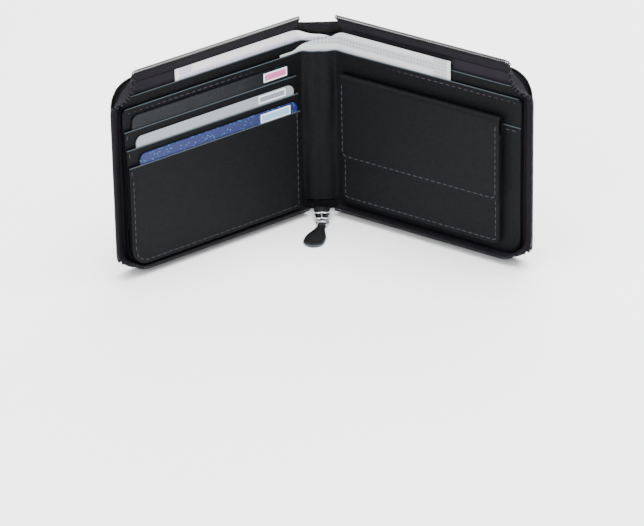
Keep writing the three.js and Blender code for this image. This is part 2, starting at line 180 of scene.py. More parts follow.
class Cover:
    """One cover's own axes: d outwards from its fold, n inwards from its leather, z up."""

    def __init__(self, side):
        self.side = side
        self.sign = 1 if side == "right" else -1
        self.body = f"{side}_cover"
        self.fold = Vector((self.sign * FOLD, 0, 0))
        self.outward = Vector((self.sign * math.cos(OPEN), -math.sin(OPEN), 0))
        self.inward = Vector((-self.sign * math.sin(OPEN), -math.cos(OPEN), 0))

    def at(self, d, n, z, share=1.0):
        """A point of the cover, turned about its fold by a share of the opening angle."""
        s, c = math.sin(share * OPEN), math.cos(share * OPEN)
        return Vector((self.sign * (FOLD + d * c - n * s), -d * s - n * c, z))

    def bent(self, s, n, z):
        """A point of a layer that runs from the middle of the spine, s away, over the fold."""
        return self.at(s - FOLD, n, z, smoothstep((s - FOLD + FOLD_RAMP) / (2 * FOLD_RAMP)))

    def local(self, point):
        away = Vector(point) - self.fold
        return away.dot(self.outward), away.dot(self.inward), point[2]

    def extent(self, node):
        """The lowest and highest d, n and z of a CAD node."""
        spots = [self.local(vertex.co) for vertex in frame["nodes"][node].data.vertices]
        return [(min(values), max(values)) for values in zip(*spots)]


LEFT, RIGHT = Cover("left"), Cover("right")
COVERS = (LEFT, RIGHT)
LENGTH = RIGHT.extent("right_cover_leather")[0][1]
TAPE_N = RIGHT.extent("right_tape_bottom")[1][0]
TAPE_SIDE = RIGHT.local(JOINTS["right_side_tape_fold"]["pos_m"])[0]
TAPE_TOP = JOINTS["right_top_tape_fold"]["pos_m"][2]
TAPE_FOOT = sum(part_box("zip_end_bottom")[k][2] for k in (0, 1)) / 2
CORNER_RADIUS = 12 * MM


def middle(pair):
    return (pair[0] + pair[1]) / 2


def outline(start, foot, end, top, radii=(0, 0, 0, 0)):
    """A round-cornered sheet, as a function from (0..1, 0..1) to its own d and z.
    The radii run from the foot at the start, anticlockwise."""
    def cut(radius, rise):
        return 0 if rise >= radius else radius - math.sqrt(radius**2 - (radius - rise)**2)

    def spot(u, v):
        z = foot + (top - foot) * (1 - math.cos(math.pi * v)) / 2
        low = start + max(cut(radii[0], z - foot), cut(radii[3], top - z))
        high = end - max(cut(radii[1], z - foot), cut(radii[2], top - z))
        return low + (high - low) * u, z
    return spot


def wave(d, z, seed):
    """A slow wave of soft leather, the same every time for one seed."""
    spot = Vector((d * 26, z * 26, seed * 7.3))
    return sizes().wave * noise.noise(spot)


# ---- meshes ----
def settle(bm, name, material):
    """Makes the finished object of a bmesh."""
    mesh = bpy.data.meshes.new(name)
    bm.to_mesh(mesh)
    bm.free()
    mesh.polygons.foreach_set("use_smooth", [True] * len(mesh.polygons))
    mesh.set_sharp_from_angle(angle=math.radians(50))
    piece = bpy.data.objects.new(name, mesh)
    bpy.context.collection.objects.link(piece)
    mesh.materials.append(bpy.data.materials[material])
    return piece


def declare(piece, replaced=(), body=None, fold=None, depth=0.0):
    """Says what a piece moves with and what it stands for."""
    if fold:
        start = fold.bent(FOLD - FOLD_RAMP, depth, 0)
        end = fold.bent(FOLD + FOLD_RAMP, depth, 0)
        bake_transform(piece, "spine", fold.body, start=start, end=end)
    else:
        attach(piece, body)
    if replaced:
        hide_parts(*replaced)
    return piece


def layer(name, spot, place, thickness, material, columns=48, rows=36, seam=False, bevel=0.13 * MM):
    """A leather or paper layer: a grid laid out by spot, raised by place and given a thickness.
    seam leaves the edge at the start square, where the other half of the layer meets it."""
    bm = bmesh.new()
    bmesh.ops.create_grid(bm, x_segments=columns, y_segments=rows, size=0.5)
    d_key = bm.verts.layers.float.new("d")
    z_key = bm.verts.layers.float.new("z")
    for vert in bm.verts:
        vert[d_key], vert[z_key] = spot(vert.co.x + 0.5, vert.co.y + 0.5)
    grown = bmesh.ops.extrude_face_region(bm, geom=bm.faces[:])["geom"]
    front = {item for item in grown if isinstance(item, bmesh.types.BMVert)}
    for vert in bm.verts:
        side = thickness / 2 if vert in front else -thickness / 2
        vert.co = place(vert[d_key], vert[z_key], side)
    bmesh.ops.recalc_face_normals(bm, faces=bm.faces[:])
    low = min(vert[d_key] for vert in bm.verts) + 0.01 * MM
    edges = [edge for edge in bm.edges if len(edge.link_faces) == 2 and edge.calc_face_angle() > 1.0
             and not (seam and all(vert[d_key] < low for vert in edge.verts))]
    bmesh.ops.bevel(bm, geom=edges, offset=min(bevel, thickness * 0.35), segments=2, profile=0.5,
                    affect="EDGES", material=-1)
    uv = bm.loops.layers.uv.new("flat")
    for face in bm.faces:
        for loop in face.loops:
            loop[uv].uv = (loop.vert[d_key], loop.vert[z_key])
    bm.verts.layers.float.remove(bm.verts.layers.float["d"])
    bm.verts.layers.float.remove(bm.verts.layers.float["z"])
    return settle(bm, name, material)


def piping(name, points, radius, material):
    """A round bead along points."""
    curve = bpy.data.curves.new(name, "CURVE")
    curve.dimensions = "3D"
    curve.bevel_depth = radius
    curve.bevel_resolution = 2
    curve.use_fill_caps = True
    spline = curve.splines.new("POLY")
    spline.points.add(len(points) - 1)
    for point, place in zip(spline.points, points):
        point.co = (*place, 1)
    holder = bpy.data.objects.new(name, curve)
    bpy.context.collection.objects.link(holder)
    mesh = bpy.data.meshes.new_from_object(holder.evaluated_get(bpy.context.evaluated_depsgraph_get()))
    bpy.data.objects.remove(holder)
    bpy.data.curves.remove(curve)
    bm = bmesh.new()
    bm.from_mesh(mesh)
    bpy.data.meshes.remove(mesh)
    bmesh.ops.remove_doubles(bm, verts=bm.verts[:], dist=0.001 * MM)
    return settle(bm, name, material)


def frame_of(origin, along, across):
    """A right-handed matrix at origin, with X along and Y as near across as it can be."""
    x = along.normalized()
    z = x.cross(across).normalized()
    y = z.cross(x)
    return Matrix((x, y, z)).transposed().to_4x4(), origin


def strew(name, unit, places, material):
    """Copies of a unit mesh at places, as one piece."""
    bm = bmesh.new()
    for turn, origin in places:
        copy = unit.copy()
        copy.transform(Matrix.Translation(origin) @ turn)
        bm.from_mesh(copy)
        bpy.data.meshes.remove(copy)
    return settle(bm, name, material)


def unit_mesh(name, bm):
    mesh = bpy.data.meshes.new(name)
    bm.to_mesh(mesh)
    bm.free()
    return mesh


def stitch_unit():
    bm = bmesh.new()
    bmesh.ops.create_uvsphere(bm, u_segments=6, v_segments=5, radius=0.5)
    bmesh.ops.rotate(bm, verts=bm.verts[:], cent=(0, 0, 0), matrix=Matrix.Rotation(math.pi / 2, 3, "Y"))
    size = sizes()
    bmesh.ops.scale(bm, verts=bm.verts[:],
                    vec=(size.stitch_length, size.stitch_width, size.stitch_width * 0.8))
    return unit_mesh("stitch", bm)


def tooth_unit():
    """One turn of the nylon coil: a ring of wire, wider across the zip than through it."""
    bm = bmesh.new()
    wire, reach, through = 0.3 * MM, 0.95 * MM, 0.62 * MM
    bmesh.ops.create_circle(bm, segments=6, radius=wire)
    bmesh.ops.rotate(bm, verts=bm.verts[:], cent=(0, 0, 0), matrix=Matrix.Rotation(math.pi / 2, 3, "X"))
    bmesh.ops.translate(bm, verts=bm.verts[:], vec=(reach, 0, 0))
    bmesh.ops.spin(bm, geom=bm.verts[:] + bm.edges[:], cent=(0, 0, 0), axis=(0, 0, 1),
                   angle=2 * math.pi, steps=10, use_merge=True)
    bmesh.ops.remove_doubles(bm, verts=bm.verts[:], dist=0.001 * MM)
    bmesh.ops.scale(bm, verts=bm.verts[:], vec=(1.1, (through + wire) / (reach + wire), 1.3))
    bmesh.ops.recalc_face_normals(bm, faces=bm.faces[:])
    return unit_mesh("tooth", bm)


def seam(name, cover, n, path, body=None):
    """A row of stitches on a layer at depth n, along a path of the cover's own d and z."""
    length, at = path
    count = max(int(length / sizes().stitch_pitch), 1)
    step = length / count
    places = []
    for k in range(count):
        a, b = at((k + 0.3) * step)[0], at((k + 0.7) * step)[0]
        start, end = cover.at(a.x, n, a.y), cover.at(b.x, n, b.y)
        along = end - start
        places.append(frame_of((start + end) / 2, along, along.cross(cover.inward)))
    unit = stitch_unit()
    piece = strew(name, unit, places, "thread")
    bpy.data.meshes.remove(unit)
    return declare(piece, body=body or cover.body)


# ---- paths in a cover's own d and z: their length, and a point and its outward way along them ----
def line(start, end, out=(0, 0)):
    start, end, out = Vector(start), Vector(end), Vector(out)
    length = (end - start).length
    return length, lambda t: (start.lerp(end, t / length), out)


def arc(centre, radius, start, end):
    centre = Vector(centre)
    length = radius * abs(end - start)

    def at(t):
        angle = start + (end - start) * t / length
        out = Vector((math.cos(angle), math.sin(angle)))
        return centre + radius * out, out
    return length, at


def chain(*runs):
    total = sum(length for length, _ in runs)

    def at(t):
        for length, run in runs[:-1]:
            if t <= length:
                return run(t)
            t -= length
        return runs[-1][1](min(t, runs[-1][0]))
    return total, at


def around(start, side, foot, top, foot_radius, top_radius):
    """The run along the foot, up the side and back along the top."""
    quarter = math.pi / 2
    return chain(
        line((start, foot), (side - foot_radius, foot), (0, -1)),
        arc((side - foot_radius, foot + foot_radius), foot_radius, -quarter, 0),
        line((side, foot + foot_radius), (side, top - top_radius), (1, 0)),
        arc((side - top_radius, top - top_radius), top_radius, 0, quarter),
        line((side - top_radius, top), (start, top), (0, 1)))


# ---- shader node groups ----
def new_group(name, inputs, outputs):
    """A node group with float or vector sockets; returns its tree, input node and output node."""
    tree = bpy.data.node_groups.new(name, "ShaderNodeTree")
    for label, kind, value in inputs:
        socket = tree.interface.new_socket(label, in_out="INPUT", socket_type=kind)
        if value is not None:
            socket.default_value = value
    for label in outputs:
        tree.interface.new_socket(label, in_out="OUTPUT", socket_type="NodeSocketFloat")
    return tree, tree.nodes.new("NodeGroupInput"), tree.nodes.new("NodeGroupOutput")


def put(tree, kind, values=(), **settings):
    """Adds a node, sets its options, and sets or links its input sockets."""
    node = tree.nodes.new(kind)
    for key, value in settings.items():
        setattr(node, key, value)
    for socket, value in dict(values).items():
        if isinstance(value, bpy.types.NodeSocket):
            tree.links.new(value, node.inputs[socket])
        else:
            node.inputs[socket].default_value = value
    return node


def math_node(tree, operation, *values, clamp=False):
    return put(tree, "ShaderNodeMath", enumerate(values), operation=operation, use_clamp=clamp).outputs[0]


def grain_group():
    """Pebbled leather: rounded cells with creases between them, and a slow change of tone."""
    tree, given, out = new_group(
        "leather_grain",
        [("Vector", "NodeSocketVector", None), ("Cells", "NodeSocketFloat", 900.0),
         ("Fine", "NodeSocketFloat", 0.25)],
        ["Height", "Tone"])
    warp = put(tree, "ShaderNodeTexNoise",
               {"Vector": given.outputs["Vector"], "Scale": 700.0, "Detail": 2.0})
    shift = put(tree, "ShaderNodeVectorMath", {0: warp.outputs["Color"], 1: (0.0006, 0.0006, 0.0006)},
                operation="MULTIPLY")
    spot = put(tree, "ShaderNodeVectorMath", {0: given.outputs["Vector"], 1: shift.outputs[0]},
               operation="ADD")
    cells = put(tree, "ShaderNodeTexVoronoi", {"Vector": spot.outputs[0], "Scale": given.outputs["Cells"]},
                feature="DISTANCE_TO_EDGE")
    pebble = put(tree, "ShaderNodeMapRange",
                 {"Value": cells.outputs["Distance"], "From Min": 0.0, "From Max": 0.22},
                 interpolation_type="SMOOTHSTEP")
    fine = put(tree, "ShaderNodeTexNoise", {"Vector": spot.outputs[0], "Scale": 4200.0, "Detail": 3.0})
    speck = math_node(tree, "MULTIPLY", fine.outputs["Fac"], given.outputs["Fine"])
    tree.links.new(math_node(tree, "ADD", pebble.outputs["Result"], speck), out.inputs["Height"])
    slow = put(tree, "ShaderNodeTexNoise",
               {"Vector": given.outputs["Vector"], "Scale": 38.0, "Detail": 4.0})
    tree.links.new(slow.outputs["Fac"], out.inputs["Tone"])


def weave_group():
    """Herringbone tape: slanting ribs that turn back every few threads, along the strip's length."""
    tree, given, out = new_group(
        "herringbone",
        [("Vector", "NodeSocketVector", None), ("Rib", "NodeSocketFloat", 0.0006),
         ("Band", "NodeSocketFloat", 0.0016)],
        ["Height", "Tone"])
    parts = put(tree, "ShaderNodeSeparateXYZ", {0: given.outputs["Vector"]})
    turns = math_node(tree, "PINGPONG", parts.outputs["Y"], given.outputs["Band"])
    slant = math_node(tree, "ADD", parts.outputs["X"], turns)
    phase = math_node(tree, "MULTIPLY", math_node(tree, "DIVIDE", slant, given.outputs["Rib"]), math.tau)
    rib = math_node(tree, "ADD", math_node(tree, "MULTIPLY", math_node(tree, "SINE", phase), 0.5), 0.5)
    tree.links.new(rib, out.inputs["Height"])
    fuzz = put(tree, "ShaderNodeTexNoise", {"Vector": given.outputs["Vector"], "Scale": 2500.0})
    tree.links.new(math_node(tree, "MULTIPLY", rib, fuzz.outputs["Fac"]), out.inputs["Tone"])


def patch_group():
    """A soft-edged rectangle in a flat map."""
    tree, given, out = new_group(
        "printed_patch",
        [("Vector", "NodeSocketVector", None), ("Left", "NodeSocketFloat", 0.0),
         ("Right", "NodeSocketFloat", 0.01), ("Foot", "NodeSocketFloat", 0.0),
         ("Top", "NodeSocketFloat", 0.01)],
        ["Mask"])
    parts = put(tree, "ShaderNodeSeparateXYZ", {0: given.outputs["Vector"]})
    mask = None
    for value, low, high in (("X", "Left", "Right"), ("Y", "Foot", "Top")):
        over = math_node(tree, "GREATER_THAN", parts.outputs[value], given.outputs[low])
        under = math_node(tree, "LESS_THAN", parts.outputs[value], given.outputs[high])
        both = math_node(tree, "MULTIPLY", over, under)
        mask = both if mask is None else math_node(tree, "MULTIPLY", mask, both)
    tree.links.new(mask, out.inputs["Mask"])


def group(tree, name, values):
    node = put(tree, "ShaderNodeGroup")
    node.node_tree = bpy.data.node_groups[name]
    for socket, value in values.items():
        if isinstance(value, bpy.types.NodeSocket):
            tree.links.new(value, node.inputs[socket])
        else:
            node.inputs[socket].default_value = value
    return node


# ---- materials ----
def new_material(name, constants=()):
    """A material with a Principled shader; constants set its plain sockets."""
    material = bpy.data.materials.new(name)
    material.use_nodes = True
    tree = material.node_tree
    shader = tree.nodes["Principled BSDF"]
    for socket, value in dict(constants).items():
        shader.inputs[socket].default_value = value
    return tree, shader


def object_coordinates(tree):
    return put(tree, "ShaderNodeTexCoord").outputs["Object"]


def flat_map(tree):
    return put(tree, "ShaderNodeUVMap", uv_map="flat").outputs[0]


def tint(tree, mask, first, second):
    """Mixes two colours by a mask; each is a colour or a socket."""
    node = put(tree, "ShaderNodeMix", data_type="RGBA")
    for index, value in ((0, mask), (6, first), (7, second)):
        if isinstance(value, bpy.types.NodeSocket):
            tree.links.new(value, node.inputs[index])
        elif index == 0:
            node.inputs[0].default_value = value
        else:
            node.inputs[index].default_value = (*value, 1)
    return node.outputs[2]


def ramp(tree, value, low, high):
    """Maps 0..1 to low..high."""
    return put(tree, "ShaderNodeMapRange", {"Value": value, "To Min": low, "To Max": high}).outputs[0]


def raise_bump(tree, shader, height, distance, strength=1.0):
    bump = put(tree, "ShaderNodeBump", {"Height": height, "Distance": distance, "Strength": strength})
    tree.links.new(bump.outputs[0], shader.inputs["Normal"])


def leather_material(name, colour, cells, depth, rough, coat, gloss=0.1, fine=0.25):
    tree, shader = new_material(name, {"Coat Weight": coat, "Coat Roughness": 0.28,
                                       "Specular IOR Level": gloss})
    grain = group(tree, "leather_grain",
                  {"Vector": object_coordinates(tree), "Cells": cells, "Fine": fine})
    pale = [part * 1.8 for part in colour]
    tone = ramp(tree, grain.outputs["Tone"], 0.0, 0.9)
    tree.links.new(tint(tree, tone, colour, pale), shader.inputs["Base Color"])
    valley = ramp(tree, grain.outputs["Height"], rough + 0.16, rough)
    tree.links.new(math_node(tree, "ADD", valley, ramp(tree, grain.outputs["Tone"], -0.06, 0.06)),
                   shader.inputs["Roughness"])
    raise_bump(tree, shader, grain.outputs["Height"], depth)


def tape_material(name, colour):
    tree, shader = new_material(name, {"Specular IOR Level": 0.15})
    weave = group(tree, "herringbone", {"Vector": flat_map(tree)})
    pale = [part * 2.6 + 0.004 for part in colour]
    tree.links.new(tint(tree, weave.outputs["Tone"], colour, pale), shader.inputs["Base Color"])
    tree.links.new(ramp(tree, weave.outputs["Height"], 0.9, 0.68), shader.inputs["Roughness"])
    raise_bump(tree, shader, weave.outputs["Height"], 0.12 * MM)


def cloth_material(name, colour):
    """Plain woven lining cloth, in the object's own coordinates."""
    tree, shader = new_material(name, {"Specular IOR Level": 0.15})
    where = object_coordinates(tree)
    threads = put(tree, "ShaderNodeTexWave", {"Vector": where, "Scale": 900.0, "Distortion": 0.4},
                  bands_direction="Z")
    cross = put(tree, "ShaderNodeTexWave", {"Vector": where, "Scale": 900.0, "Distortion": 0.4},
                bands_direction="X")
    height = math_node(tree, "MAXIMUM", threads.outputs["Fac"], cross.outputs["Fac"])
    pale = [part * 2 + 0.003 for part in colour]
    tree.links.new(tint(tree, height, colour, pale), shader.inputs["Base Color"])
    tree.links.new(ramp(tree, height, 0.92, 0.78), shader.inputs["Roughness"])
    raise_bump(tree, shader, height, 0.05 * MM)


def nylon_material(name, colour):
    tree, shader = new_material(name, {"Specular IOR Level": 0.12})
    streak = put(tree, "ShaderNodeTexNoise", {"Vector": object_coordinates(tree), "Scale": 2400.0})
    pale = [part * 2.2 for part in colour]
    tree.links.new(tint(tree, streak.outputs["Fac"], colour, pale), shader.inputs["Base Color"])
    tree.links.new(ramp(tree, streak.outputs["Fac"], 0.38, 0.6), shader.inputs["Roughness"])
    raise_bump(tree, shader, streak.outputs["Fac"], 0.02 * MM)


def metal_material(name, colour, rough=0.16):
    tree, shader = new_material(name, {"Metallic": 1.0})
    where = object_coordinates(tree)
    smear = put(tree, "ShaderNodeTexNoise", {"Vector": where, "Scale": 260.0, "Detail": 5.0})
    hairline = put(tree, "ShaderNodeTexNoise", {"Vector": where, "Scale": 3800.0, "Detail": 2.0})
    dull = [part * 0.82 for part in colour]
    tree.links.new(tint(tree, smear.outputs["Fac"], colour, dull), shader.inputs["Base Color"])
    tree.links.new(ramp(tree, smear.outputs["Fac"], rough * 0.7, rough * 1.7), shader.inputs["Roughness"])
    raise_bump(tree, shader, hairline.outputs["Fac"], 0.008 * MM)


def thread_material(name, colour):
    tree, shader = new_material(name, {"Specular IOR Level": 0.3})
    twist = put(tree, "ShaderNodeTexWave", {"Vector": object_coordinates(tree), "Scale": 1500.0},
                bands_direction="DIAGONAL")
    dark = [part * 0.55 for part in colour]
    tree.links.new(tint(tree, twist.outputs["Fac"], dark, colour), shader.inputs["Base Color"])
    tree.links.new(ramp(tree, twist.outputs["Fac"], 0.75, 0.5), shader.inputs["Roughness"])
    raise_bump(tree, shader, twist.outputs["Fac"], 0.05 * MM)


def board_material(name):
    tree, shader = new_material(name)
    pulp = put(tree, "ShaderNodeTexNoise",
               {"Vector": object_coordinates(tree), "Scale": 1500.0, "Detail": 5.0})
    tree.links.new(tint(tree, pulp.outputs["Fac"], (0.16, 0.14, 0.12), (0.26, 0.24, 0.2)),
                   shader.inputs["Base Color"])
    tree.links.new(ramp(tree, pulp.outputs["Fac"], 0.8, 0.95), shader.inputs["Roughness"])
    raise_bump(tree, shader, pulp.outputs["Fac"], 0.05 * MM)


def note_material(name, paper, ink, reach):
    """Banknote paper with fine waved lines, a border block and rows of dots, and no lettering."""
    tree, shader = new_material(name)
    where = flat_map(tree)
    parts = put(tree, "ShaderNodeSeparateXYZ", {0: where})
    swing = math_node(tree, "SINE", math_node(tree, "MULTIPLY", parts.outputs["X"], 420.0))
    bent = math_node(tree, "ADD", math_node(tree, "MULTIPLY", parts.outputs["Y"], 5200.0),
                     math_node(tree, "MULTIPLY", swing, 2.4))
    lines = ramp(tree, math_node(tree, "SINE", bent), 0.0, 0.35)
    border = group(tree, "printed_patch", {"Vector": where, "Left": reach - 9 * MM, "Right": reach - 2 * MM,
                                           "Foot": 0.02, "Top": 0.2})
    strip = group(tree, "printed_patch", {"Vector": where, "Left": 0.0, "Right": reach - 2 * MM,
                                          "Foot": 0.0845, "Top": 0.0885})
    dots = put(tree, "ShaderNodeTexVoronoi", {"Vector": where, "Scale": 620.0, "Randomness": 0.15})
    spots = math_node(tree, "LESS_THAN", dots.outputs["Distance"], 0.3)
    block = math_node(tree, "MAXIMUM", border.outputs[0], strip.outputs[0])
    inked = math_node(tree, "MULTIPLY", block, math_node(tree, "ADD", math_node(
        tree, "MULTIPLY", spots, 0.5), 0.35), clamp=True)
    ground = tint(tree, lines, paper, [0.75 * p + 0.25 * i for p, i in zip(paper, ink)])
    tree.links.new(tint(tree, inked, ground, ink), shader.inputs["Base Color"])
    fibre = put(tree, "ShaderNodeTexNoise", {"Vector": where, "Scale": 1800.0, "Detail": 6.0})
    tree.links.new(ramp(tree, fibre.outputs["Fac"], 0.72, 0.88), shader.inputs["Roughness"])
    raise_bump(tree, shader, fibre.outputs["Fac"], 0.03 * MM)


def card_material(name, ground, flecks, panel, panel_at, gloss):
    """A printed plastic card: a ground with fine flecks, a pale rim and one printed panel."""
    tree, shader = new_material(name, {"Coat Weight": gloss, "Coat Roughness": 0.12,
                                       "Specular IOR Level": 0.15})
    where = flat_map(tree)
    speckle = put(tree, "ShaderNodeTexVoronoi", {"Vector": where, "Scale": 700.0})
    mask = ramp(tree, math_node(tree, "LESS_THAN", speckle.outputs["Distance"], 0.22), 0.0, 0.8)
    colour = tint(tree, mask, ground, flecks)
    left, right, foot, top = panel_at
    rim = 0.7 * MM
    outer = group(tree, "printed_patch", {"Vector": where, "Left": left - rim, "Right": right + rim,
                                          "Foot": foot - rim, "Top": top + rim})
    inner = group(tree, "printed_patch", {"Vector": where, "Left": left, "Right": right,
                                          "Foot": foot, "Top": top})
    colour = tint(tree, outer.outputs[0], colour, (0.75, 0.76, 0.8))
    colour = tint(tree, inner.outputs[0], colour, panel)
    tree.links.new(colour, shader.inputs["Base Color"])
    smudge = put(tree, "ShaderNodeTexNoise", {"Vector": where, "Scale": 90.0, "Detail": 5.0})
    tree.links.new(ramp(tree, smudge.outputs["Fac"], 0.3, 0.5), shader.inputs["Roughness"])
    raise_bump(tree, shader, speckle.outputs["Distance"], 0.006 * MM)


def floor_material(name):
    tree, shader = new_material(name)
    dust = put(tree, "ShaderNodeTexNoise", {"Vector": object_coordinates(tree), "Scale": 3.0})
    tree.links.new(tint(tree, dust.outputs["Fac"], (0.9, 0.9, 0.9), (0.93, 0.93, 0.93)),
                   shader.inputs["Base Color"])
    tree.links.new(ramp(tree, dust.outputs["Fac"], 0.7, 0.8), shader.inputs["Roughness"])


def make_materials():
    """Builds the shared node groups and then every finish."""
    grain_group()
    weave_group()
    patch_group()
    colour = colours()
    leather_material("smooth_hide", colour.outer[:], 1250.0, 0.05 * MM, 0.36, 0.0, gloss=0.12, fine=0.2)
    leather_material("pebbled_hide", colour.inner[:], 950.0, 0.07 * MM, 0.48, 0.0)
    leather_material("tab_leather", colour.outer[:], 900.0, 0.1 * MM, 0.36, 0.1, gloss=0.3)
    # Material of the edge beads: its paler colour is a painted highlight along the turned edges.
    leather_material("turned_edge", colour.edge[:], 1400.0, 0.04 * MM, 0.38, 0.05, gloss=0.3)
    tape_material("zip_tape", colour.tape[:])
    cloth_material("lining_cloth", colour.tape[:])
    nylon_material("zip_nylon", colour.coil[:])
    metal_material("bright_nickel", colour.metal[:])
    metal_material("pressed_foil", colour.foil[:], 0.3)
    thread_material("thread", colour.thread[:])
    board_material("grey_board")
    note_material("note_lilac", (0.72, 0.7, 0.71), (0.3, 0.26, 0.5), 0.0775)
    note_material("note_grey", (0.5, 0.52, 0.52), (0.2, 0.22, 0.23), 0.0705)
    card_material("card_black", (0.003, 0.004, 0.006), (0.012, 0.016, 0.024), (0.55, 0.12, 0.3),
                  (0.0105, 0.022, 0.0735, 0.0765), 0.05)
    card_material("card_silver", (0.24, 0.26, 0.28), (0.32, 0.34, 0.37), (0.2, 0.22, 0.26),
                  (0.0125, 0.026, 0.0645, 0.067), 0.3)
    card_material("card_blue", (0.012, 0.018, 0.085), (0.03, 0.16, 0.28), (0.22, 0.42, 0.6),
                  (0.011, 0.026, 0.0555, 0.0585), 0.15)
    floor_material("studio_floor")


# ---- covers ----
def make_covers():
    """The outer leather, in two halves that meet at the middle of the spine."""
    size = sizes()
    reach = FOLD + LENGTH
    for cover in COVERS:
        spot = outline(0, 0, reach, HEIGHT, (0, CORNER_RADIUS, CORNER_RADIUS, 0))

        def place(s, z, side, cover=cover):
            edge = min(s + 20 * MM, reach - s, z, HEIGHT - z)
            puff = 0.35 * MM * smoothstep(edge / (6 * MM)) if side < 0 else 0
            soft = wave(s, z, 3) * 0.6 * smoothstep(edge / (8 * MM))
            return cover.bent(s, side - puff + soft, z)
        skin = layer(f"{cover.side}_cover_skin", spot, place, size.leather, "smooth_hide",
                     columns=72, rows=48, seam=True, bevel=0.3 * MM)
        nodes = [f"{cover.side}_cover_leather"] + (["spine_leather"] if cover is LEFT else [])
        declare(skin, nodes, fold=cover)
        binding(cover)
        stitch = size.seam_inset
        inset = CORNER_RADIUS - stitch
        path = around(8 * MM, LENGTH - stitch, stitch, HEIGHT - stitch, inset, inset)
        seam(f"{cover.side}_cover_seam", cover, -size.leather / 2 - 0.1 * MM, path)
    for name in ("left_board", "right_board"):
        finish_node(name, "grey_board")
    for name in ("left_lining", "right_lining", "spine_lining"):
        finish_node(name, "lining_cloth")


def finish_node(name, material):
    """Gives a carried-over CAD node its finish."""
    mesh = frame["nodes"][name].data
    mesh.materials.clear()
    mesh.materials.append(bpy.data.materials[material])


def binding(cover):
    """The turned edge of the cover leather, which closes the step up to the zip tape."""
    length, at = around(9 * MM, TAPE_SIDE, TAPE_FOOT, TAPE_TOP, FOOT_CORNER, TOP_CORNER)

    def place(t, z, side):
        base, out = at(t)
        spot = base + out * side
        return cover.at(spot.x, z, spot.y)
    edge = outline(0, 0.4 * MM, length, TAPE_N + 0.25 * MM)
    piece = layer(f"{cover.side}_binding", edge, place, BINDING, "pebbled_hide",
                  columns=150, rows=3, bevel=0.0)
    declare(piece, body=cover.body)


def make_ornament():
    """Three small lozenges of foil, pressed into the lower outer corner of the left cover."""
    bm = bmesh.new()
    for k in range(3):
        made = bmesh.ops.create_circle(bm, cap_ends=True, segments=4, radius=(2.6 - 0.5 * (k != 1)) * MM)
        verts = made["verts"]
        bmesh.ops.scale(bm, verts=verts, vec=(0.7, 1, 1))
        bmesh.ops.translate(bm, verts=verts, vec=((72 + 5.2 * k) * MM, 24 * MM, 0))
    grown = bmesh.ops.extrude_face_region(bm, geom=bm.faces[:])["geom"]
    bmesh.ops.translate(bm, verts=[item for item in grown if isinstance(item, bmesh.types.BMVert)],
                        vec=(0, 0, 0.12 * MM))
    bmesh.ops.recalc_face_normals(bm, faces=bm.faces[:])
    bmesh.ops.bevel(bm, geom=bm.edges[:], offset=0.05 * MM, segments=1, profile=0.5,
                    affect="EDGES", material=-1)
    surface = -sizes().leather / 2 - 0.35 * MM
    for vert in bm.verts:
        vert.co = LEFT.at(vert.co.x, surface - vert.co.z, vert.co.y)
    bmesh.ops.recalc_face_normals(bm, faces=bm.faces[:])
    declare(settle(bm, "foil_ornament", "pressed_foil"), body="left_cover")


# ---- inner layers that cross the spine ----
def crossing(cover, name, node, spine_node, material, thickness, radii, replaced, seed):
    """One half of a layer that runs from the middle of the spine over the fold to its outer end."""
    (_, reach), (low, high), (foot, top) = cover.extent(node)
    n = middle((low, high))
    spine_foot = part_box(spine_node)[0][2]
    spot = outline(0, foot, FOLD + reach, top, radii)

    def lift(s, z):
        """Raises the foot of the strip in the spine, clear of the slider."""
        share = 1 - smoothstep((s - FOLD) / (6 * MM))
        return z + (spine_foot - foot) * share * (top - z) / (top - foot)

    def crease(s, z):
        """Upright creases in the leather over the spine."""
        inside = 1 - smoothstep((s - FOLD + 1 * MM) / (5 * MM))
        return 0.35 * MM * inside * math.sin(s / (1.5 * MM) + 2.0 * noise.noise(Vector((0, z * 40, seed))))

    def place(s, z, side):
        return cover.bent(s, n + side + crease(s, z) + wave(s, z, seed), lift(s, z))
    piece = layer(name, spot, place, thickness, material, columns=90, rows=36, seam=True)
    declare(piece, replaced, fold=cover, depth=n)
    end = FOLD + reach - radii[2]
    # A bead along the top edge, in the paler leather that paints the highlight of the turned edge.
    points = [place(end * k / 80, top, -0.1 * MM) for k in range(81)]
    piece = piping(f"{name}_edge", points, sizes().edge_bead, "turned_edge")
    declare(piece, fold=cover, depth=n)
    return n


def make_inner():
    """Divider and front panel, each in two halves, and the front panel's seam."""
    for cover in COVERS:
        side = cover.side
        first = ["spine_divider"] if cover is LEFT else []
        crossing(cover, f"{side}_divider_leather", f"{side}_divider", "spine_divider", "pebbled_hide",
                 0.5 * MM, (0, 8.5 * MM, 6 * MM, 0), [f"{side}_divider"] + first, 5)
        first = ["spine_panel"] if cover is LEFT else []
        n = crossing(cover, f"{side}_panel_leather", f"{side}_panel", "spine_panel", "pebbled_hide",
                     0.6 * MM, (0, 8.5 * MM, 1.5 * MM, 0), [f"{side}_panel"] + first, 9)
        (_, reach), _, (_, top) = cover.extent(f"{side}_panel")
        inset = sizes().seam_inset
        seam(f"{side}_panel_seam", cover, n + 0.22 * MM,
             line((8 * MM, top - inset), (reach - 2 * MM, top - inset)))


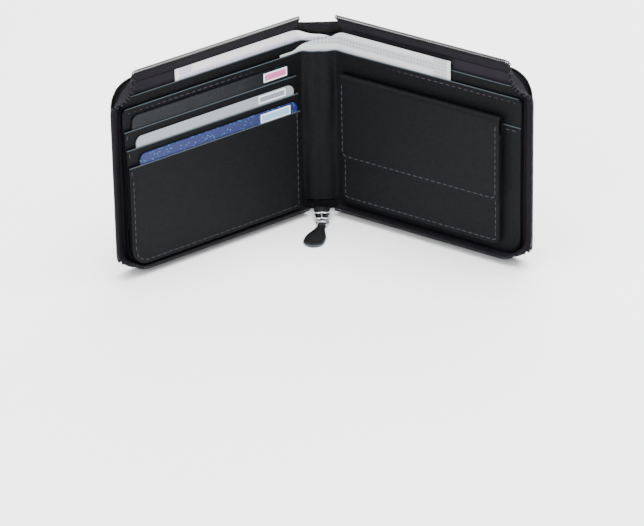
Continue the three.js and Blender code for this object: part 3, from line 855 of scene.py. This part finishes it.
def make_notes():
    """Two banknotes, each in two halves that meet in the spine."""
    for kind, material, seed in (("rear", "note_lilac", 13), ("front", "note_grey", 17)):
        for cover in COVERS:
            node = f"{kind}_note_{cover.side}"
            (_, reach), (low, high), (foot, top) = cover.extent(node)
            n = middle((low, high))
            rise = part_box(f"{kind}_note_middle")[1][2]

            def spot(u, v, reach=reach, foot=foot, top=top, rise=rise):
                s = (FOLD + reach) * u
                crest = rise + (top - rise) * smoothstep(s / (FOLD + 6 * MM))
                return s, foot + (crest - foot) * v

            def place(s, z, side, cover=cover, n=n, seed=seed):
                return cover.bent(s, n + side + wave(s, z, seed) * 1.2, z)
            nodes = [node] + ([f"{kind}_note_middle"] if cover is LEFT else [])
            piece = layer(f"{node}_paper", spot, place, 0.12 * MM, material, columns=60, rows=30,
                          seam=True, bevel=0.02 * MM)
            declare(piece, nodes, fold=cover, depth=n)


# ---- layers that lie on one cover ----
def flat_layer(cover, node, name, material, body, thickness, radii, seed, bead=False, soft=0.3):
    """A layer over one CAD node; soft is its share of the leather's wave."""
    (start, end), (low, high), (foot, top) = cover.extent(node)
    n = middle((low, high))
    spot = outline(start, foot, end, top, radii)

    def place(d, z, side):
        return cover.at(d, n + side + soft * wave(d, z, seed), z)
    piece = layer(name, spot, place, thickness, material)
    declare(piece, [node], body=body)
    # The bead along the top edge is paler than the leather: a painted highlight of the turned edge.
    if bead:
        points = [place(start + (end - start) * k / 60, top, 0) for k in range(61)]
        declare(piping(f"{name}_edge", points, sizes().edge_bead * 0.85, "turned_edge"), body=body)
    return (start, end), n, (foot, top)


def make_card_side():
    """Three card slots and their cards on the left cover."""
    inset = sizes().seam_inset
    square = (0, 0, 0, 0)
    slots = (("card_slot_1", square), ("card_slot_2", square), ("card_pocket", (0, 8.5 * MM, 0, 0)))
    for node, radii in slots:
        (start, end), n, (foot, top) = flat_layer(
            LEFT, node, f"{node}_leather", "pebbled_hide", "left_cover", 0.4 * MM,
            radii, 9, bead=True)
        face = n + 0.27 * MM
        seam(f"{node}_bar_tack", LEFT, face, line((end - 1.2 * MM, top - 5 * MM), (end - 1.2 * MM, top)))
        if node == "card_pocket":
            low = foot + inset
            path = chain(line((start + 2 * MM, low), (end - 8.5 * MM, low)),
                         arc((end - 8.5 * MM, low + 8.5 * MM - inset), 8.5 * MM - inset, -math.pi / 2, 0),
                         line((end - inset, low + 8 * MM), (end - inset, top - 6 * MM)))
            seam("card_pocket_seam", LEFT, face, path)
            seam("card_pocket_fold_seam", LEFT, face, line((start + inset, low), (start + inset, top)))
    radius = 3.18 * MM
    for k, material in enumerate(("card_black", "card_silver", "card_blue")):
        card = f"card_{k + 1}"
        flat_layer(LEFT, card, f"{card}_printed", material, card, 0.76 * MM,
                   (radius,) * 4, 9, soft=0)


def make_coin_side():
    """The slip pocket and the coin pocket with its bellows and flap on the right cover."""
    inset = sizes().seam_inset
    flat_layer(RIGHT, "slip_pocket", "slip_pocket_leather", "pebbled_hide",
               "right_cover", 0.45 * MM, (0, 8.5 * MM, 0, 0), 9, bead=True)
    (start, end), (_, high), (_, top) = RIGHT.extent("slip_pocket")
    seam("slip_pocket_seam", RIGHT, high + 0.03 * MM,
         line((start + 2 * MM, top - inset), (end - 2 * MM, top - inset)))
    corner = 3 * MM
    flat_layer(RIGHT, "coin_pocket_back", "coin_pocket_back_leather", "pebbled_hide",
               "right_cover", 0.4 * MM, (corner, corner, 0, 0), 21)
    flat_layer(RIGHT, "coin_pocket_front", "coin_pocket_front_leather", "pebbled_hide",
               "right_cover", 0.45 * MM, (corner, corner, 0, 0), 23, bead=True)
    bellows()
    (start, end), (_, high), (foot, top) = RIGHT.extent("coin_pocket_front")
    path = chain(line((start + inset, top), (start + inset, foot + corner)),
                 arc((start + corner, foot + corner), corner - inset, math.pi, 1.5 * math.pi),
                 line((start + corner, foot + inset), (end - corner, foot + inset)),
                 arc((end - corner, foot + corner), corner - inset, -math.pi / 2, 0),
                 line((end - inset, foot + corner), (end - inset, top)))
    seam("coin_pocket_seam", RIGHT, high + 0.03 * MM, path)
    coin_flap()
    for name in ("stud_socket", "stud_cap"):
        finish_node(name, "bright_nickel")


def bellows():
    """The folded cloth wall of the coin pocket, round three sides."""
    (start, end), (low, high), (foot, top) = RIGHT.extent("coin_pocket_gusset")
    radius = 3 * MM
    inset = 0.9 * MM
    length, at = chain(
        line((start + inset, top), (start + inset, foot + radius), (-1, 0)),
        arc((start + radius, foot + radius), radius - inset, math.pi, 1.5 * math.pi),
        line((start + radius, foot + inset), (end - radius, foot + inset), (0, -1)),
        arc((end - radius, foot + radius), radius - inset, -math.pi / 2, 0),
        line((end - inset, foot + radius), (end - inset, top), (1, 0)))

    def place(t, n, side):
        base, out = at(t)
        share = (n - low) / (high - low)
        tuck = 0.8 * MM * (1 - abs(2 * share - 1))
        spot = base + out * (side - tuck)
        return RIGHT.at(spot.x, n, spot.y)
    piece = layer("coin_pocket_bellows", outline(0, low, length, high), place, 0.4 * MM, "lining_cloth",
                  columns=140, rows=8, bevel=0.05 * MM)
    declare(piece, ["coin_pocket_gusset"], body="right_cover")


def coin_flap():
    """The flap, which rolls over from the back of the pocket at its soft top fold."""
    (start, end), (low, high), (foot, top) = RIGHT.extent("coin_flap")
    hinge = RIGHT.local(JOINTS["coin_flap_hinge"]["pos_m"])
    back = RIGHT.extent("coin_pocket_back")[1][1]
    n = middle((low, high))
    radius = (n - back) / 2
    centre = back + radius
    roll = math.pi * radius
    tail = 6 * MM
    spot = outline(start, 0, end, roll + tail + top - foot, (0, 0, 4 * MM, 4 * MM))

    def place(d, t, side):
        soft = wave(d, t, 27)
        if t < tail:
            return RIGHT.at(d, back + side, top - tail + t)
        if t < tail + roll:
            angle = math.pi * (t - tail) / roll
            out = radius + side
            return RIGHT.at(d, centre - out * math.cos(angle), top + out * math.sin(angle))
        return RIGHT.at(d, n + side + soft * smoothstep((t - tail - roll) / (6 * MM)),
                        top - (t - tail - roll))
    piece = layer("coin_flap_leather", spot, place, 0.6 * MM, "pebbled_hide", columns=48, rows=60)
    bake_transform(piece, "right_cover", "coin_flap", start=RIGHT.at(0, back, hinge[2]),
             end=RIGHT.at(0, n, hinge[2]))
    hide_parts("coin_flap")
    inset = sizes().seam_inset
    corner = 4 * MM
    path = chain(line((start + inset, top - 2 * MM), (start + inset, foot + corner)),
                 arc((start + corner, foot + corner), corner - inset, math.pi, 1.5 * math.pi),
                 line((start + corner, foot + inset), (end - corner, foot + inset)),
                 arc((end - corner, foot + corner), corner - inset, -math.pi / 2, 0),
                 line((end - inset, foot + corner), (end - inset, top - 2 * MM)))
    seam("coin_flap_seam", RIGHT, high + 0.05 * MM, path, body="coin_flap")


# ---- zip ----
def zip_runs(cover):
    """Each run of one half of the zip: its path, its axis and ramp if it leans, its nodes and body."""
    quarter = math.pi / 2
    start = cover.extent(f"{cover.side}_tape_bottom")[0][0]
    low = (TAPE_SIDE - FOOT_CORNER, TAPE_FOOT + FOOT_CORNER)
    high = (TAPE_SIDE - TOP_CORNER, TAPE_TOP - TOP_CORNER)
    half = (low[1] + high[1]) / 2
    low_turn = (1, low[1] - FOOT_CORNER * math.sin(CORNER_SHARE), low[1] - RAMP_END)
    high_turn = (1, high[1] + TOP_CORNER * math.sin(CORNER_SHARE), high[1] + RAMP_END)
    top_turn = (0, high[0] + TOP_CORNER * math.cos(CORNER_SHARE), high[0] + RAMP_END)
    return (
        ("bottom", chain(line((start, TAPE_FOOT), (low[0], TAPE_FOOT), (0, -1)),
                         arc(low, FOOT_CORNER, -quarter, -CORNER_SHARE)), ("bottom",), None),
        ("side_low", chain(arc(low, FOOT_CORNER, -CORNER_SHARE, 0),
                           line((TAPE_SIDE, low[1]), (TAPE_SIDE, half), (1, 0))), ("side",), low_turn),
        ("side_high", chain(line((TAPE_SIDE, half), (TAPE_SIDE, high[1]), (1, 0)),
                            arc(high, TOP_CORNER, 0, CORNER_SHARE)), ("side", "corner"), high_turn),
        ("top", chain(arc(high, TOP_CORNER, CORNER_SHARE, quarter),
                      line((high[0], TAPE_TOP), (start, TAPE_TOP), (0, 1))), ("top",), top_turn))


def zip_point(cover, at, kind, turn, t, w, off):
    """A point of the zip, w across from its seam and off through it, at t along its run.
    It is laid square to the cover and then leant out about the seam's own straight part."""
    base, out = at(t)
    spot = [base.x + out.x * off, base.y + out.y * off]
    n = TAPE_N + w
    if turn:
        key, start, end = turn
        lean = FLARE[kind] * smoothstep((base[key] - start) / (end - start))
        axis = (TAPE_SIDE, TAPE_TOP)[1 - key]
        away, rise = spot[1 - key] - axis, w
        spot[1 - key] = axis + away * math.cos(lean) + rise * math.sin(lean)
        n = TAPE_N + rise * math.cos(lean) - away * math.sin(lean)
    return cover.at(spot[0], n, spot[1])


def settle_run(piece, cover, nodes, turn):
    """Joins a run of the zip to its cover, and along its ramp to the body that leans."""
    if turn:
        key, start, end = turn
        ends = [cover.at(0, TAPE_N, value) if key else cover.at(value, TAPE_N, TAPE_TOP)
                for value in (start, end)]
        body = f"{cover.side}_{'side' if key else 'top'}_tape"
        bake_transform(piece, cover.body, body, start=ends[0], end=ends[1])
    else:
        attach(piece, cover.body)
    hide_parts(*nodes)


def make_zip():
    """Both halves of the zip: woven tape and a coil of nylon teeth."""
    unit = tooth_unit()
    for cover in COVERS:
        side = cover.side
        for name, (length, at), kinds, turn in zip_runs(cover):
            def place(t, w, off, at=at, kind=kinds[0], turn=turn, cover=cover):
                return zip_point(cover, at, kind, turn, t, w, off)
            tape = layer(f"{side}_zip_tape_{name}", outline(0, 0, length, TAPE_EDGE), place, 0.45 * MM,
                         "zip_tape", columns=max(int(length / (1.2 * MM)), 8), rows=8, bevel=0.0)
            settle_run(tape, cover, [f"{side}_tape_{kind}" for kind in kinds], turn)
            count = round(length / COIL_PITCH)
            shift = 0.25 if cover is LEFT else 0.75
            places = []
            for k in range(count):
                t = (k + shift) * length / count
                origin = place(t, COIL_MIDDLE, 0)
                across = place(t, COIL_MIDDLE + MM, 0) - origin
                places.append(frame_of(origin, across, place(t, COIL_MIDDLE, MM) - origin))
            teeth = strew(f"{side}_zip_teeth_{name}", unit, places, "zip_nylon")
            settle_run(teeth, cover, [f"{side}_coil_{kind}" for kind in kinds], turn)
    bpy.data.meshes.remove(unit)


def make_zip_ends():
    """The folded ends of the tape, sewn down inside the spine at the top and the foot."""
    for name in ("top", "bottom"):
        low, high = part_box(f"zip_end_{name}")
        z = (low[2] + high[2]) / 2

        def place(x, t, side, z=z, low=low, high=high):
            fold = 1.1 * MM
            return Vector((x, high[1] - 0.1 * MM + side - 0.3 * MM * math.cos(x * 1400),
                           z + fold * math.cos(math.pi * t) + 0.2 * MM * math.sin(x * 1800)))
        piece = layer(f"zip_end_{name}_fold", outline(low[0], 0, high[0], 1), place, 0.5 * MM, "zip_tape",
                      columns=26, rows=8, bevel=0.08 * MM)
        declare(piece, [f"zip_end_{name}"], body="spine")


# ---- slider, pull and tab ----
def slab(bm, shape, low, high, bevel, segments=40, hole=None):
    """A plate whose outline is shape(angle), with an optional hole of the same kind."""
    outer = bmesh.ops.create_circle(bm, segments=segments, radius=1, cap_ends=hole is None)["verts"]
    rings = [(outer, shape)]
    if hole:
        inner = bmesh.ops.create_circle(bm, segments=segments, radius=0.5)["verts"]
        rings.append((inner, hole))
    for verts, form in rings:
        for vert in verts:
            x, y = form(math.atan2(vert.co.y, vert.co.x))
            vert.co = (x, y, low)
    if hole:
        loops = [edge for verts, _ in rings for edge in {e for v in verts for e in v.link_edges}]
        faces = bmesh.ops.bridge_loops(bm, edges=loops)["faces"]
    else:
        faces = list({face for vert in outer for face in vert.link_faces})
    grown = bmesh.ops.extrude_face_region(bm, geom=faces)["geom"]
    raised = [item for item in grown if isinstance(item, bmesh.types.BMVert)]
    bmesh.ops.translate(bm, verts=raised, vec=(0, 0, high - low))
    verts = {vert for part, _ in rings for vert in part} | set(raised)
    all_faces = list({face for vert in verts for face in vert.link_faces})
    bmesh.ops.recalc_face_normals(bm, faces=all_faces)
    edges = [edge for edge in {e for v in verts for e in v.link_edges}
             if len(edge.link_faces) == 2 and edge.calc_face_angle() > 1.0]
    bmesh.ops.bevel(bm, geom=edges, offset=bevel, segments=2, profile=0.5, affect="EDGES", material=-1)


def box_part(bm, low, high, bevel):
    """A rounded block between two corners."""
    made = bmesh.ops.create_cube(bm, size=1)["verts"]
    low, high = Vector(low), Vector(high)
    bmesh.ops.scale(bm, verts=made, vec=high - low)
    bmesh.ops.translate(bm, verts=made, vec=(low + high) / 2)
    edges = list({edge for vert in made for edge in vert.link_edges})
    bmesh.ops.bevel(bm, geom=edges, offset=bevel, segments=2, profile=0.5, affect="EDGES", material=-1)


def ring_part(bm, inner, outer, half):
    """A ring round the X axis."""
    section = bmesh.ops.create_grid(bm, x_segments=1, y_segments=1, size=1)["verts"]
    for vert in section:
        vert.co = (half * vert.co.x, inner if vert.co.y < 0 else outer, 0)
    edges = list({edge for vert in section for edge in vert.link_edges})
    faces = list({face for vert in section for face in vert.link_faces})
    bmesh.ops.spin(bm, geom=section + edges + faces, cent=(0, 0, 0), axis=(1, 0, 0),
                   angle=2 * math.pi, steps=24, use_merge=True)


def make_slider():
    """The slider: two waisted plates with turned lips, joined by a post, and a bridge below."""
    low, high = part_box("slider_body")
    centre = Vector(((low[0] + high[0]) / 2, (low[1] + high[1]) / 2, 0))
    half = (high[1] - low[1]) / 2
    wide = (high[0] - low[0]) / 2
    plate = 0.6 * MM

    def shape(angle):
        x, y = math.cos(angle), math.sin(angle)
        square = (abs(x)**3 + abs(y)**3)**(-1 / 3)
        x, y = x * square, y * square
        waist = 1 - 0.14 * smoothstep((y + 0.2) / 0.9) - 0.05 * math.exp(-(y * 3)**2)
        notch = 0.16 * math.exp(-(x * 4)**2) if y < -0.3 else 0
        return wide * waist * x, half * (y + notch)
    bm = bmesh.new()
    top = high[2]
    mid = 1.85 * MM
    slab(bm, shape, mid, mid + plate, 0.18 * MM)
    slab(bm, shape, top - plate, top, 0.18 * MM)
    for side in (-1, 1):
        near, far = sorted((side * wide * 0.78, side * wide * 0.92))
        for foot, head in ((mid + 0.3 * MM, TAPE_FOOT - 0.45 * MM),
                           (TAPE_FOOT + 0.45 * MM, top - 0.3 * MM)):
            box_part(bm, (near, -0.62 * half, foot), (far, 0.8 * half, head), 0.12 * MM)
    box_part(bm, (-0.2 * MM, -0.72 * half, mid), (0.2 * MM, -0.3 * half, top - 0.1 * MM), 0.08 * MM)
    for side in (-1, 1):
        box_part(bm, (side * 1.85 * MM - 0.28 * MM, -0.45 * MM, PULL_AT.z - 0.32 * MM),
                 (side * 1.85 * MM + 0.28 * MM, 0.45 * MM, mid + 0.2 * MM), 0.14 * MM)
    rod = bmesh.ops.create_cone(bm, segments=16, radius1=0.3 * MM, radius2=0.3 * MM, depth=3.6 * MM,
                                cap_ends=True)["verts"]
    bmesh.ops.rotate(bm, verts=rod, cent=(0, 0, 0), matrix=Matrix.Rotation(math.pi / 2, 3, "Y"))
    bmesh.ops.translate(bm, verts=rod, vec=(0, 0, PULL_AT.z))
    bmesh.ops.translate(bm, verts=bm.verts[:], vec=centre)
    piece = settle(bm, "zip_slider", "bright_nickel")
    declare(piece, ["slider_body"], body="slider")


def pull_matrix():
    """The pull's own axes: +Y from the slider's bar towards the tab."""
    reach = TAB_AT - PULL_AT
    tilt = math.atan2(reach.z, -reach.y)
    return (Matrix.Translation(PULL_AT) @ Matrix.Rotation(-tilt, 4, "X")
            @ Matrix.Rotation(math.pi, 4, "Z")), reach.length, tilt


def make_pull():
    """The pull: a waisted plate with an eye at one end and a D-shaped window at the other."""
    matrix, length, _ = pull_matrix()
    half = 3.2 * MM
    middle_y = 0.62 * length
    reach = length + 0.4 * MM - middle_y

    def shape(angle):
        x, y = math.cos(angle), math.sin(angle)
        square = (abs(x)**2.6 + abs(y)**2.6)**(-1 / 2.6)
        x, y = x * square, y * square
        narrow = 1 - 0.66 * smoothstep(-y) if y < 0 else 1
        return half * narrow * x, middle_y + y * (reach if y > 0 else middle_y - 0.55 * MM)

    def window(angle):
        x, y = math.cos(angle), math.sin(angle)
        square = (abs(x)**3 + abs(y)**3)**(-1 / 3)
        return (half - 0.9 * MM) * x * square, length - 1.55 * MM + 1.15 * MM * y * square
    bm = bmesh.new()
    slab(bm, shape, -0.3 * MM, 0.3 * MM, 0.16 * MM, segments=48, hole=window)
    ring_part(bm, 0.42 * MM, 0.8 * MM, 1.0 * MM)
    bmesh.ops.transform(bm, matrix=matrix, verts=bm.verts[:])
    bmesh.ops.recalc_face_normals(bm, faces=bm.faces[:])
    piece = settle(bm, "zip_pull", "bright_nickel")
    declare(piece, ["pull_plate"], body="pull")


def make_tab():
    """The leather tab: a strip folded double over the pull's bar, with a bead round its edge that is paler
    than the leather as a painted highlight.
    """
    pull, length, tilt = pull_matrix()
    turn, drop = math.radians(16), math.radians(1.2)
    matrix = (pull @ Matrix.Translation((0, length, 0)) @ Matrix.Rotation(-drop - tilt, 4, "X")
              @ Matrix.Rotation(-turn, 4, "Z"))
    end = 20 * MM
    half = 4.5 * MM
    neck = 1.75 * MM

    def width(y):
        body = neck + (half - neck) * smoothstep((y - 2 * MM) / (11 * MM))
        rest = end - y
        return body if rest > half else min(body, math.sqrt(max(half**2 - (half - rest)**2, 0)))

    def spot(u, v):
        y = 1.0 * MM + (end - 1.0 * MM) * (1 - math.cos(math.pi * v)) / 2
        return (2 * u - 1) * width(y), y

    for name, side in (("under", -1), ("upper", 1)):
        def place(x, y, off, side=side):
            edge = min(width(y) - abs(x), end - y)
            crown = 0.3 * MM * smoothstep(edge / (1.8 * MM))
            gap = 0.31 * MM
            lift = side * gap + off + (side * crown if off * side > 0 else 0)
            pinch = 0.25 * MM * (1 - smoothstep((y - 1 * MM) / (5 * MM))) * side
            return matrix @ Vector((x, y, lift + pinch))
        piece = layer(f"tab_{name}_leather", spot, place, 0.56 * MM, "tab_leather", columns=22, rows=44,
                      bevel=0.14 * MM)
        declare(piece, ["pull_tab"] if side > 0 else (), body="tab")
    bm = bmesh.new()
    ring_part(bm, 0.72 * MM, 1.2 * MM, neck)
    bmesh.ops.transform(bm, matrix=matrix, verts=bm.verts[:])
    bmesh.ops.recalc_face_normals(bm, faces=bm.faces[:])
    declare(settle(bm, "tab_loop", "tab_leather"), body="tab")
    count = 34
    rim = []
    for k in range(count + 1):
        y = 2.4 * MM + (end - 2.4 * MM) * math.sin(0.5 * math.pi * k / count)
        rim.append((width(y), y))
    points = [matrix @ Vector((x, y, 0)) for x, y in rim] + [
        matrix @ Vector((-x, y, 0)) for x, y in reversed(rim)]
    # The rim bead, in the paler leather that paints the highlight along the tab's edge.
    declare(piping("tab_edge", points, 0.36 * MM, "turned_edge"), body="tab")


# ---- stage ----
def make_camera():
    """The camera, at the angle that the wallet is seen from."""
    data = bpy.data.cameras.new("camera")
    camera = bpy.data.objects.new("camera", data)
    bpy.context.collection.objects.link(camera)
    azimuth, elevation, roll = math.radians(1.06), math.radians(28.4), math.radians(-1.08)
    target = Vector((-0.6 * MM, -25 * MM, -15.2 * MM))
    view = Vector((math.sin(azimuth) * math.cos(elevation), math.cos(azimuth) * math.cos(elevation),
                   -math.sin(elevation)))
    right = view.cross(Vector((0, 0, 1))).normalized()
    up = right.cross(view)
    side = right * math.cos(roll) + up * math.sin(roll)
    rise = up * math.cos(roll) - right * math.sin(roll)
    turn = Matrix((side, rise, -view)).transposed().to_4x4()
    camera.matrix_world = Matrix.Translation(target - view * 1.984) @ turn
    data.lens = 244
    data.sensor_width = 36
    bpy.context.scene.camera = camera


def make_light(name, place, size, power, aim=(0, -0.03, 0.04)):
    data = bpy.data.lights.new(name, "AREA")
    data.shape = "RECTANGLE"
    data.size, data.size_y = size
    data.energy = power
    light = bpy.data.objects.new(name, data)
    bpy.context.collection.objects.link(light)
    light.location = place
    light.rotation_euler = (Vector(aim) - Vector(place)).to_track_quat("-Z", "Y").to_euler()


def make_stage():
    """A pale floor and soft light."""
    bm = bmesh.new()
    bmesh.ops.create_grid(bm, x_segments=24, y_segments=24, size=4)
    bmesh.ops.translate(bm, verts=bm.verts[:], vec=(0, 0, CAD_BOX[0][2] - 0.05 * MM))
    settle(bm, "floor", "studio_floor")
    make_light("top_light", (0.1, -0.1, 1.3), (1.4, 1.2), 60)
    make_light("front_light", (-0.5, -1.1, 0.7), (0.8, 0.8), 12)
    make_light("back_light", (0.3, 1.0, 0.7), (1.2, 0.6), 16)
    world = bpy.data.worlds.new("studio")
    world.use_nodes = True
    world.node_tree.nodes["Background"].inputs[0].default_value = (0.95, 0.97, 1.0, 1)
    world.node_tree.nodes["Background"].inputs[1].default_value = 1.3
    bpy.context.scene.world = world


class WALLET_OT_camera(bpy.types.Operator):
    """Places the camera."""

    bl_idname = "wallet.camera"
    bl_label = "Camera"

    def execute(self, context):
        make_camera()
        return {"FINISHED"}


class WALLET_OT_materials(bpy.types.Operator):
    """Builds every finish of the wallet and the floor."""

    bl_idname = "wallet.materials"
    bl_label = "Finishes"

    def execute(self, context):
        make_materials()
        return {"FINISHED"}


class WALLET_OT_stage(bpy.types.Operator):
    """Lays the pale floor and hangs the soft lights."""

    bl_idname = "wallet.stage"
    bl_label = "Stage"

    def execute(self, context):
        make_stage()
        return {"FINISHED"}


class WALLET_OT_covers(bpy.types.Operator):
    """Builds the outer leather, its seams and its turned edge."""

    bl_idname = "wallet.covers"
    bl_label = "Covers"

    def execute(self, context):
        make_covers()
        return {"FINISHED"}


class WALLET_OT_ornament(bpy.types.Operator):
    """Presses the foil ornament into the left cover."""

    bl_idname = "wallet.ornament"
    bl_label = "Ornament"

    def execute(self, context):
        make_ornament()
        return {"FINISHED"}


class WALLET_OT_inner(bpy.types.Operator):
    """Builds the divider and the front panel."""

    bl_idname = "wallet.inner"
    bl_label = "Inner leather"

    def execute(self, context):
        make_inner()
        return {"FINISHED"}


class WALLET_OT_notes(bpy.types.Operator):
    """Builds the two banknotes."""

    bl_idname = "wallet.notes"
    bl_label = "Banknotes"

    def execute(self, context):
        make_notes()
        return {"FINISHED"}


class WALLET_OT_cards(bpy.types.Operator):
    """Builds the card slots and the cards."""

    bl_idname = "wallet.cards"
    bl_label = "Card side"

    def execute(self, context):
        make_card_side()
        return {"FINISHED"}


class WALLET_OT_coins(bpy.types.Operator):
    """Builds the slip pocket and the coin pocket."""

    bl_idname = "wallet.coins"
    bl_label = "Coin side"

    def execute(self, context):
        make_coin_side()
        return {"FINISHED"}


class WALLET_OT_zip(bpy.types.Operator):
    """Builds the zip tape and its teeth."""

    bl_idname = "wallet.zip"
    bl_label = "Zip"

    def execute(self, context):
        make_zip()
        return {"FINISHED"}


class WALLET_OT_zip_ends(bpy.types.Operator):
    """Builds the folded ends of the tape."""

    bl_idname = "wallet.zip_ends"
    bl_label = "Zip ends"

    def execute(self, context):
        make_zip_ends()
        return {"FINISHED"}


class WALLET_OT_slider(bpy.types.Operator):
    """Builds the zip's slider."""

    bl_idname = "wallet.slider"
    bl_label = "Slider"

    def execute(self, context):
        make_slider()
        return {"FINISHED"}


class WALLET_OT_pull(bpy.types.Operator):
    """Builds the pull."""

    bl_idname = "wallet.pull"
    bl_label = "Pull"

    def execute(self, context):
        make_pull()
        return {"FINISHED"}


class WALLET_OT_tab(bpy.types.Operator):
    """Builds the leather tab."""

    bl_idname = "wallet.tab"
    bl_label = "Tab"

    def execute(self, context):
        make_tab()
        return {"FINISHED"}


OPERATORS = (
    WALLET_OT_camera, WALLET_OT_materials, WALLET_OT_stage, WALLET_OT_covers, WALLET_OT_ornament,
    WALLET_OT_inner, WALLET_OT_notes, WALLET_OT_cards, WALLET_OT_coins, WALLET_OT_zip,
    WALLET_OT_zip_ends, WALLET_OT_slider, WALLET_OT_pull, WALLET_OT_tab,
)


class WALLET_PT_panel(bpy.types.Panel):
    """Lists the steps that build the wallet."""

    bl_label = "Wallet"
    bl_space_type = "VIEW_3D"
    bl_region_type = "UI"
    bl_category = "Wallet"

    def draw(self, context):
        for operator in OPERATORS:
            self.layout.operator(operator.bl_idname)
        for settings in (context.scene.wallet_sizes, context.scene.wallet_colours):
            for name in settings.__annotations__:
                self.layout.prop(settings, name)


CLASSES = (WalletSizes, WalletColours, *OPERATORS, WALLET_PT_panel)


def register():
    for item in CLASSES:
        bpy.utils.register_class(item)
    bpy.types.Scene.wallet_sizes = bpy.props.PointerProperty(type=WalletSizes)
    bpy.types.Scene.wallet_colours = bpy.props.PointerProperty(type=WalletColours)


def unregister():
    del bpy.types.Scene.wallet_sizes
    del bpy.types.Scene.wallet_colours
    for item in reversed(CLASSES):
        bpy.utils.unregister_class(item)


def main():
    register()
    for operator in OPERATORS:
        getattr(bpy.ops.wallet, operator.bl_idname.split(".")[1])()


if __name__ == "__main__":
    main()
